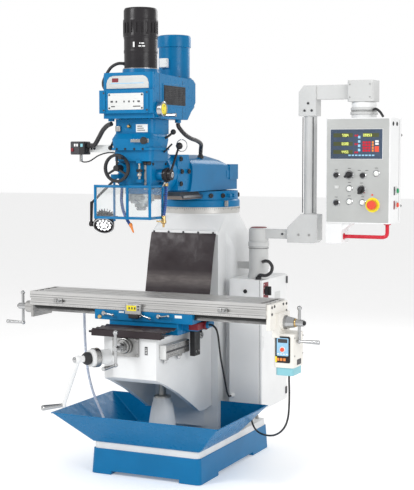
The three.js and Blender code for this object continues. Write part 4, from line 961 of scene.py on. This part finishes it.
def saddle_details():
    y = -478
    for i, (x, turn) in enumerate(((-226, -4), (-10, -10), (96, 6))):
        lathe(f"lock_boss_{i}", [(0, 0), (12, 0), (12, 10), (9, 13), (0, 13)], (x, y, 862), CHROME,
              "saddle", axis=-Y, sides=28)
        tip = (x + 62 * math.cos(math.radians(turn)), y - 20, 862 + 62 * math.sin(math.radians(turn)))
        lever(f"lock_lever_{i}", [(x, y - 9, 862), (x + 16, y - 15, 862), tip], 4.2, CHROME, "saddle")
        knob(f"lock_ball_{i}", tip, 7.5, CHROME, "saddle")
    slab("stop_block", (-92, y - 20, 866), (0, y - 2, 918), STEEL, "saddle", bevel=2)
    slab("stop_label", (-82, y - 20.7, 884), (-26, y - 20, 912), YELLOW, "saddle", bevel=0.2)
    slabs("stop_label_marks", [((-70 + 16 * k, y - 21, 892), (-62 + 16 * k, y - 20.6, 904))
                               for k in range(3)], INK, "saddle", bevel=0)
    slab("stop_foot", (-70, y - 26, 846), (-14, y - 0.2, 868), BLACK_MATT, "saddle", bevel=3)
    screws("stop_screws", [(-14, y - 20, 892), (-14, y - 20, 908)], -Y, 4.5, 3, INK, "saddle")
    slab("saddle_label", (186, y - 0.7, 858), (226, y - 0.1, 872), WHITE, "saddle", bevel=0.2)
    slab("saddle_label_small", (-138, y - 0.7, 868), (-108, y - 0.1, 877), WHITE, "saddle", bevel=0.2)
    lathe("cable_gland", [(21.4, 0), (26, 1), (26, 12), (23, 16), (21.4, 16), (21.4, 0)],
          (284.5, -330, 812), DARK_RED, "saddle", axis=X, sides=8, sharp=20)
    slab("gland_box", (236, y + 57, 792), (290, -352, 830), DARK_RED, "saddle", bevel=4)
    slab("reader_cover", (201.4, -334, 643), (229, -266, 786.5), BLACK_MATT, "saddle", bevel=2)
    screws("reader_screws", [(229, -300 + d, 666) for d in (-16, 16)], X, 5, 3, STEEL, "saddle")
    lathe("oil_pump_cap", [(0, 0), (11, 0), (11, 6), (8, 9), (0, 9)], (-252, y, 842), BRASS, "saddle",
          axis=-Y, sides=28)


def knee_details():
    face = ends("cross_screw_bracket")[0].y + 32
    screws("bracket_bolts", [(x, face, z) for x in (-72, 57) for z in (683, 756)], -Y, 8.5, 7, STEEL, "knee")
    lathe("cross_dial", [(38.4, 0), (41, 0.5), (41, 15), (38.4, 16), (38.4, 0)], (-7, face - 4, 727), STEEL,
          "knee", axis=-Y, sides=60)
    slab("knee_label", (98, -638.9, 686), (114, -638.1, 728), INK, "knee", bevel=0.2)
    slabs("knee_label_lines", [((101, -639.2, 692 + 8 * k), (111, -638.8, 695 + 8 * k)) for k in range(4)],
          WHITE, "knee", bevel=0)
    lo, hi = ends("y_scale")
    side = hi.x
    slabs("scale_lips", [((side, -598, z), (side + 1.4, -332, z + 4)) for z in (676, 720)], STEEL, "knee",
          bevel=0.5)
    slab("scale_slot", (side - 0.3, -596, 694), (side + 0.5, -334, 704), INK, "knee", bevel=0)
    slab("scale_end", (lo.x + 1, -607, 664), (hi.x + 3, -599, 736), PLATE, "knee", bevel=2)
    for i, y in enumerate((-572, -420)):
        lathe(f"scale_knob_{i}", [(0, 0), (9, 0), (9, 12), (7, 15), (0, 15)], (178, y, 656), CHROME, "knee",
              axis=-Z, sides=28)
        slab(f"scale_foot_{i}", (163, y - 14, 656), (192, y + 14, 667.6), STEEL, "knee", bevel=1.5)
    for i, y in enumerate((-190, -120)):
        lathe(f"knee_lock_boss_{i}", [(0, 0), (13, 0), (13, 8), (10, 11), (0, 11)], (162, y, 716), STEEL,
              "knee", axis=X, sides=28)
        lever(f"knee_lock_{i}", [(171, y, 716), (180, y - 12, 728), (186, y - 44, 748)], 5, STEEL, "knee")
        knob(f"knee_lock_ball_{i}", (186, y - 48, 750), 8, BLACK_MATT, "knee")
    way = Vector((-0.5, -0.8660254, 0))
    root = Vector((-122, -615, 662))
    lathe("knee_dial_ring", [(46.4, 0), (49, 1), (49, 28), (46.4, 29), (46.4, 0)], root + way * 64, STEEL,
          "knee_crank", axis=way, sides=60)
    ticks = bmesh.new()
    turned_to = Matrix.Translation(root + way * 66) @ basis(way)
    for i in range(60):
        add_box(ticks, (48.9, -0.5, 0), (49.3, 0.5, 6 + 3 * (i % 5 == 0)),
                turned_to @ Matrix.Rotation(2 * math.pi * i / 60, 4, "Z"))
    from_bmesh("knee_dial_ticks", ticks, INK, "knee_crank")
    lathe("knee_hub_sleeve", [(17.3, 0), (31, 0), (33, 6), (33, 20), (24, 34), (17.3, 34), (17.3, 0)],
          root + way * 113, BLACK_MATT, "knee_crank", axis=way, sides=40)
    grip = root + way * 181 + Vector((-131.6, 76, -258))
    lathe("knee_grip", [(0, 6), (9.9, 6), (14.6, 116), (13, 123), (9, 126), (0, 126)], grip, CHROME,
          "knee_crank", axis=way, sides=36)
    lathe("knee_crank_cap", [(0, 0), (14, 0), (14, 5), (10, 8), (0, 8)], root + way * 198, CHROME,
          "knee_crank", axis=way, sides=28)


table_details()
feed_panel()
saddle_details()
knee_details()


# ---- cabinet and base ----
def cabinet_details():
    front = 60
    face = 442
    lathe("front_lock", [(0, 0), (11, 0), (11, 4), (8, 9), (0, 9)], (346, front, 948), BLACK_MATT, "base",
          axis=-Y, sides=28)
    outline_plate("switch_plate", rounded(84, 904, 156, 996, 5), "X", face + 0.02, 0.24, DARK_RED,
                  "cabinet_door", bevel=0)
    slabs("switch_marks", [((face + 0.26, 90, z), (face + 0.3, 104, z + 4)) for z in (912, 930, 964, 982)],
          WHITE, "cabinet_door", bevel=0)
    slab("rear_latch", (face, 418, 962), (face + 5, 440, 1002), INK, "cabinet_door", bevel=1.5)
    slab("rear_latch_low", (face, 418, 330), (face + 5, 440, 370), INK, "cabinet_door", bevel=1.5)
    slabs("rear_vents", [((290 + 9 * k, 461, 420), (294 + 9 * k, 461.5, 520)) for k in range(14)], INK,
          "base", bevel=0)
    slab("front_seam", (428.6, front - 0.4, 298), (430, front, 1011), INK, "base", bevel=0)
    slab("door_plate", (face, 250, 880), (face + 0.8, 330, 930), PLATE, "cabinet_door", bevel=0.3)
    lathe("strut_collar", [(10.5, 0), (17, 0), (17, 10), (14, 14), (10.5, 14), (10.5, 0)],
          (420, 68, 1015.4), BLACK_MATT, "base", sides=8, sharp=20)


def base_details():
    top = ends("base_casting")[1].z
    for i, (x, y) in enumerate([(sx * 268, sy * 418) for sx in (-1, 1) for sy in (-1, 1)]):
        lathe(f"levelling_screw_{i}", [(0, 0), (11, 0), (11, 16), (9, 20), (0, 20)], (x, y, top), STEEL,
              "base", sides=6, sharp=20)
    rim = ends("coolant_tray")[1].z
    slabs("tray_rim", [((-484, -599, rim - 5), (-480.2, 54, rim - 0.5)),
                       ((480.2, -599, rim - 5), (484, 54, rim - 0.5)),
                       ((-484, -599, rim - 5), (484, -595.2, rim - 0.5))], SHEET_BLUE, "base", bevel=1)
    outline_plate("rear_hatch", rounded(-130, 420, 130, 760, 16), "Y", 455, 3, SHEET_GREY, "base", bevel=1)
    screws("rear_hatch_screws", [(x, 458, z) for x in (-116, 116) for z in (434, 590, 746)], Y, 6, 3, STEEL,
           "base")
    outline_plate("rear_plate", rounded(-60, 940, 60, 1020, 6), "Y", 455, 1, PLATE, "base", bevel=0.3)
    lathe("pedestal_collar", [(24.5, 0), (46, 0), (44, 8), (30, 12), (24.5, 12), (24.5, 0)],
          (0, -255, 397.3), STEEL, "base", sides=48)


cabinet_details()
base_details()


# ---- turret and ram ----
def turret_details():
    ring_top = ends("degree_ring")[1].z
    bm = bmesh.new()
    centre = Matrix.Translation((0, 235, 0))
    for i in range(120):
        tall = 14 if i % 5 == 0 else 8
        add_box(bm, (216.4, -0.7, ring_top - 3 - tall), (217.3, 0.7, ring_top - 3),
                centre @ Matrix.Rotation(2 * math.pi * i / 120, 4, "Z"))
    from_bmesh("degree_ticks", bm, INK, "base")
    low = bmesh.new()
    for degrees in (-150, -120, -72, -50, -30, 30, 60, 120, 150):
        a = math.radians(degrees)
        out = Vector((math.cos(a), math.sin(a), 0))
        add_lathe(low, [(0, 0), (13, 0), (13, 7), (11, 10), (6, 10), (5, 5), (0, 5)],
                  Vector((0, 235, 1463)) + out * 206.4, out, 24)
    from_bmesh("turret_lock_bolts", low, BLACK_MATT, "turret", sharp=30)
    slab("turret_index", (196, 118, 1404), (214.5, 128, 1436), STEEL, "turret", bevel=1)
    side = 126
    bolts = [(side, y, z) for y, z in ((-285, 1666), (-273, 1600), (-190, 1600), (-284, 1536))]
    screws("nod_bolts", bolts, X, 13, 8, BLACK_MATT, "adapter")
    screws("nod_bolts_left", [(-118, y, z) for _, y, z in bolts], -X, 13, 8, BLACK_MATT, "adapter")
    slabs("ram_scale", [((95.2, -190, 1458), (95.8, 180, 1470))], STEEL, "ram", bevel=0)
    slabs("ram_side_cap", [((130.2, 290, 1560), (132, 330, 1600))], CAST_BLUE, "ram", bevel=1)
    lathe("ram_gland", [(0, 0), (17, 0), (17, 10), (13, 18), (11.6, 22), (11.6, 24), (0, 24)],
          (90, 34, 1668), BLACK_MATT, "ram", sides=28)
    screws("ram_end_bolts", [(x, 445, z) for x in (-100, 100) for z in (1570, 1615)], Y, 8, 5, BLACK_MATT,
           "ram")


# ---- front of the head ----
def head_details():
    slab("spindle_label", (18, -573, 1800), (84, -571.8, 1840), WHITE, "head", bevel=0.3)
    slabs("spindle_label_lines", [((26, -573.4, 1808 + 10 * k), (70 - 8 * k, -573, 1812 + 10 * k))
                                  for k in range(3)], INK, "head", bevel=0)
    lathe("range_knob", [(0, 0), (17, 0), (18, 4), (18, 14), (14, 18), (0, 18)], (100, -637, 1757),
          BLACK_MATT, "range_lever", axis=-Y, sides=36)
    for i, (x, z) in enumerate(((66, 1645), (88, 1645))):
        lathe(f"front_knob_{i}", [(0, 0), (10, 0), (10, 9), (7, 12), (0, 12)], (x, -560, z), BLACK_MATT,
              "head", axis=-Y, sides=28)
    slab("stop_scale", (58, -563, 1512), (70, -560, 1640), STEEL, "head", bevel=0.4)
    slabs("stop_scale_ticks", [((58.5, -563.4, 1520 + 6 * k), (63 + 4 * (k % 5 == 0), -563, 1521 + 6 * k))
                               for k in range(20)], INK, "head", bevel=0)
    slab("stop_slot", (13, -561, 1503), (27, -559.8, 1652), INK, "head", bevel=0)
    lathe("stop_nut", [(6.3, 0), (15, 0), (15.5, 2), (15.5, 12), (15, 14), (6.3, 14), (6.3, 0)],
          (41, -581, 1600), BLACK_MATT, "head", sides=32)
    lever("quill_lock", [(96, -470, 1520), (112, -474, 1524), (128, -478, 1544)], 5, CHROME, "head")
    knob("quill_lock_ball", (129, -478, 1546), 7, CHROME, "head")
    lathe("lever_hub_cap", [(0, 0), (14, 0), (14, 4), (10, 7), (0, 7)], (176, -489, 1586), CHROME,
          "quill_lever", axis=X, sides=32)
    lathe("lever_hub_rim", [(30.2, 0), (36, 0), (37, 4), (37, 14), (34, 18), (30.2, 18), (30.2, 0)],
          (142, -489, 1586), BLACK_GLOSS, "quill_lever", axis=X, sides=40)
    ring = [(184 + 30 * math.cos(t) + 14, -418, 1734 + 30 * math.sin(t))
            for t in [2 * math.pi * k / 40 for k in range(41)]]
    tube("lever_ring", ring, 2.2, CHROME, "quill_lever", bezier=False)
    lathe("brake_cylinder", [(0, 0), (17, 0), (18, 3), (18, 58), (14, 63), (0, 63)], (-122, -470, 1798),
          BLACK_GLOSS, "head", sides=36)
    lever("brake_lever", [(-122, -490, 1800), (-128, -512, 1782), (-138, -540, 1740), (-140, -548, 1728)],
          6.5, BLACK_MATT, "head")
    knob("brake_knob", (-141, -552, 1722), 12, BLACK_MATT, "head")
    lever("back_gear_lever", [(112, -440, 1770), (132, -436, 1782), (150, -424, 1800)], 6, BLACK_MATT, "head")
    knob("back_gear_ball", (152, -422, 1803), 14, BLACK_MATT, "head")
    lever("trip_lever", [(112, -450, 1700), (128, -446, 1716), (150, -432, 1742)], 4.5, BLACK_MATT, "head")
    lathe("left_boss", [(0, 0), (24, 0), (24, 8), (20, 12), (0, 12)], (-111, -500, 1826), PLATE, "head",
          axis=-X, sides=36)
    slab("front_valve_plate", (-96, -584, 1804), (-68, -571, 1832), STEEL, "head", bevel=3)
    lathe("oil_cup", [(0, 0), (9, 0), (9, 10), (6, 14), (0, 14)], (-20, -572, 1830), BRASS, "head", axis=-Y,
          sides=28)
    screws("gear_bolts", [(x, -606, 1716) for x in (-74, -26, 26, 74)], -Y, 5.5, 3, BLACK_MATT, "head")
    screws("barrel_bolts", [(96, y, z) for y in (-540, -400) for z in (1520, 1640)], X, 7, 4, BLACK_MATT,
           "head")
    screws("feed_cover_bolts", [(-104, y, z) for y in (-530, -400) for z in (1545, 1645)], -X, 7, 4,
           BLACK_MATT, "head")
    lathe("quill_scale_ring", [(55.3, 0), (57.5, 0.5), (57.5, 8), (55.3, 8.5), (55.3, 0)], (0, -485, 1494),
          STEEL, "quill", sides=48)
    lathe("nose_ring", [(24.3, 0), (27, 0.5), (27, 6), (24.3, 6.5), (24.3, 0)], (0, -485, 1409), CHROME,
          "spindle", sides=40)
    lever("side_hose", [(124, -452, 1528), (128, -458, 1512), (132, -470, 1462), (130, -478, 1410),
                        (126, -482, 1376)], 8, SEGMENT, "head")
    lathe("side_hose_socket", [(0, 0), (13, 0), (13, 14), (9, 18), (0, 18)], (124, -452, 1544), BRASS,
          "head", axis=-Z, sides=28)
    slab("side_hose_bracket", (95, -462, 1536), (134, -442, 1548), CAST_BLUE, "head", bevel=2)
    lathe("side_valve", [(0, 0), (10, 0), (11, 4), (11, 22), (14, 26), (14, 36), (7, 40), (5, 58), (0, 58)],
          (126, -482, 1378), BRASS, "head", axis=(0.05, -0.12, -1), sides=28)
    lever("side_valve_handle", [(126, -484, 1352), (112, -496, 1350), (98, -508, 1352)], 3.5, BRASS, "head")


def switch_details():
    obj = slab("switch_box_body", (-392, -532, 1688), (-306, -468, 1756), BLACK_MATT, "head", bevel=5)
    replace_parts(obj, "switch_box")
    lathe("switch_stem", [(0, 0), (8, 0), (8, 34), (11, 36), (0, 36)], (-346, -500, 1652), STEEL, "head",
          sides=28)
    lathe("switch_gland", [(0, 0), (15, 0), (15, 10), (12.5, 16), (0, 16)], (-306, -500, 1735), BLACK_MATT,
          "head", axis=X, sides=28)
    slab("switch_face", (-388, -533.5, 1692), (-338, -531, 1752), INK, "head", bevel=1)
    slabs("switch_rockers", [((-366 + 14 * k, -538, 1730), (-357 + 14 * k, -533, 1744)) for k in range(2)],
          WHITE, "head", bevel=1)
    slab("switch_red", (-385, -540, 1704), (-370, -533, 1722), DARK_RED, "head", bevel=2)
    slab("switch_teal", (-330, -534, 1728), (-316, -531.5, 1744), CYAN, "head", bevel=1)
    slab("switch_bracket", (-306.6, -481, 1700), (-108, -474, 1738), WHITE, "head", bevel=1)
    screws("switch_bracket_screws", [(x, -481, 1719) for x in (-292, -276, -124)], -Y, 6, 3, INK, "head")
    lever("switch_rod", [(-346, -500, 1656), (-330, -503, 1650), (-290, -510, 1654), (-230, -516, 1684),
                         (-170, -518, 1698), (-112, -518, 1694)], 3.4, BLACK_MATT, "head")


def lamp_details():
    aim = Vector((0.25, -0.72, -0.64)).normalized()
    lens = Vector((-248, -440, 1316))
    back = [(0, -88), (24, -88), (26, -84), (30, -30), (50, -26), (54, -20), (55, -4), (54, 0), (50, 0),
            (49, -5), (0, -5)]
    bm = bmesh.new()
    add_lathe(bm, back, lens, aim, 60)
    turned_to = Matrix.Translation(lens) @ basis(aim)
    for i in range(20):
        add_box(bm, (25, -1.6, -80), (50, 1.6, -26), turned_to @ Matrix.Rotation(2 * math.pi * i / 20, 4,
                "Z"))
    side = lens - aim * 13
    add_lathe(bm, [(0, 0), (8, 0), (8, 18), (0, 18)], side - X * 49, -X, 24)
    made = from_bmesh("lamp_head_body", bm, BLACK_GLOSS, "lamp", bevel=0.5)
    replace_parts(made, "lamp_head")
    cells = bmesh.new()
    for count, radius in ((1, 0), (6, 16), (12, 33)):
        for i in range(count):
            t = 2 * math.pi * i / count
            spot = turned_to @ Vector((radius * math.cos(t), radius * math.sin(t), -5))
            add_lathe(cells, [(0, 0), (6.8, 0), (6.4, 2), (4.4, 4), (0, 4.8)], spot, aim, 20)
    from_bmesh("lamp_cells", cells, LED, "lamp", sharp=50)
    lathe("lamp_rim", [(49.5, -1), (54.6, -1), (55, 1.5), (52, 3), (49.5, 1.5), (49.5, -1)], lens, CHROME,
          "lamp", axis=aim, sides=60)


turret_details()
head_details()
switch_details()
lamp_details()
skin("fine_feed_handwheel", bevel=0.6, sharp=50)


# ---- stage and light ----
def area_light(name, place, target, size, power, colour=(1, 1, 1)):
    data = bpy.data.lights.new(name, "AREA")
    data.shape, data.size, data.energy, data.color = "DISK", size, power, colour
    obj = bpy.data.objects.new(name, data)
    place, target = Vector(place), Vector(target)
    obj.matrix_world = Matrix.Translation(place) @ (target - place).to_track_quat("-Z",
            "Y").to_matrix().to_4x4()
    bpy.context.scene.collection.objects.link(obj)


def make_stage():
    bm = bmesh.new()
    bmesh.ops.create_grid(bm, x_segments=2, y_segments=2, size=40000)
    floor = from_bmesh("floor", bm, finish("floor", (0.94, 0.94, 0.94), 0.8, grain=40, relief=0.02,
                                           cloud=0.01, gloss=0.1), None)
    floor.location.z = -0.001
    glow = floor.data.materials[0].node_tree.nodes["Principled BSDF"]
    glow.inputs["Emission Color"].default_value = (1, 1, 1, 1)
    glow.inputs["Emission Strength"].default_value = 0.2
    scene = bpy.context.scene
    scene.world = bpy.data.worlds.new("studio")
    scene.world.use_nodes = True
    tree = scene.world.node_tree
    seen = tree.nodes.new("ShaderNodeLightPath").outputs["Is Camera Ray"]
    power = tree.nodes.new("ShaderNodeMapRange")
    power.inputs["To Min"].default_value = 0.72
    power.inputs["To Max"].default_value = 1.0
    tree.links.new(seen, power.inputs["Value"])
    sky = tree.nodes["Background"]
    sky.inputs["Color"].default_value = (1, 1, 1, 1)
    tree.links.new(power.outputs[0], sky.inputs["Strength"])
    scene.view_settings.view_transform = "Standard"
    area_light("key", (-2.6, -4.6, 4.2), (0, 0, 1.1), 2.2, 150)
    area_light("fill", (4.5, -2.5, 2.6), (0, 0, 1.0), 2.6, 84)
    area_light("back", (1.0, 4.5, 3.6), (0, 0, 1.4), 2.4, 50)


make_stage()
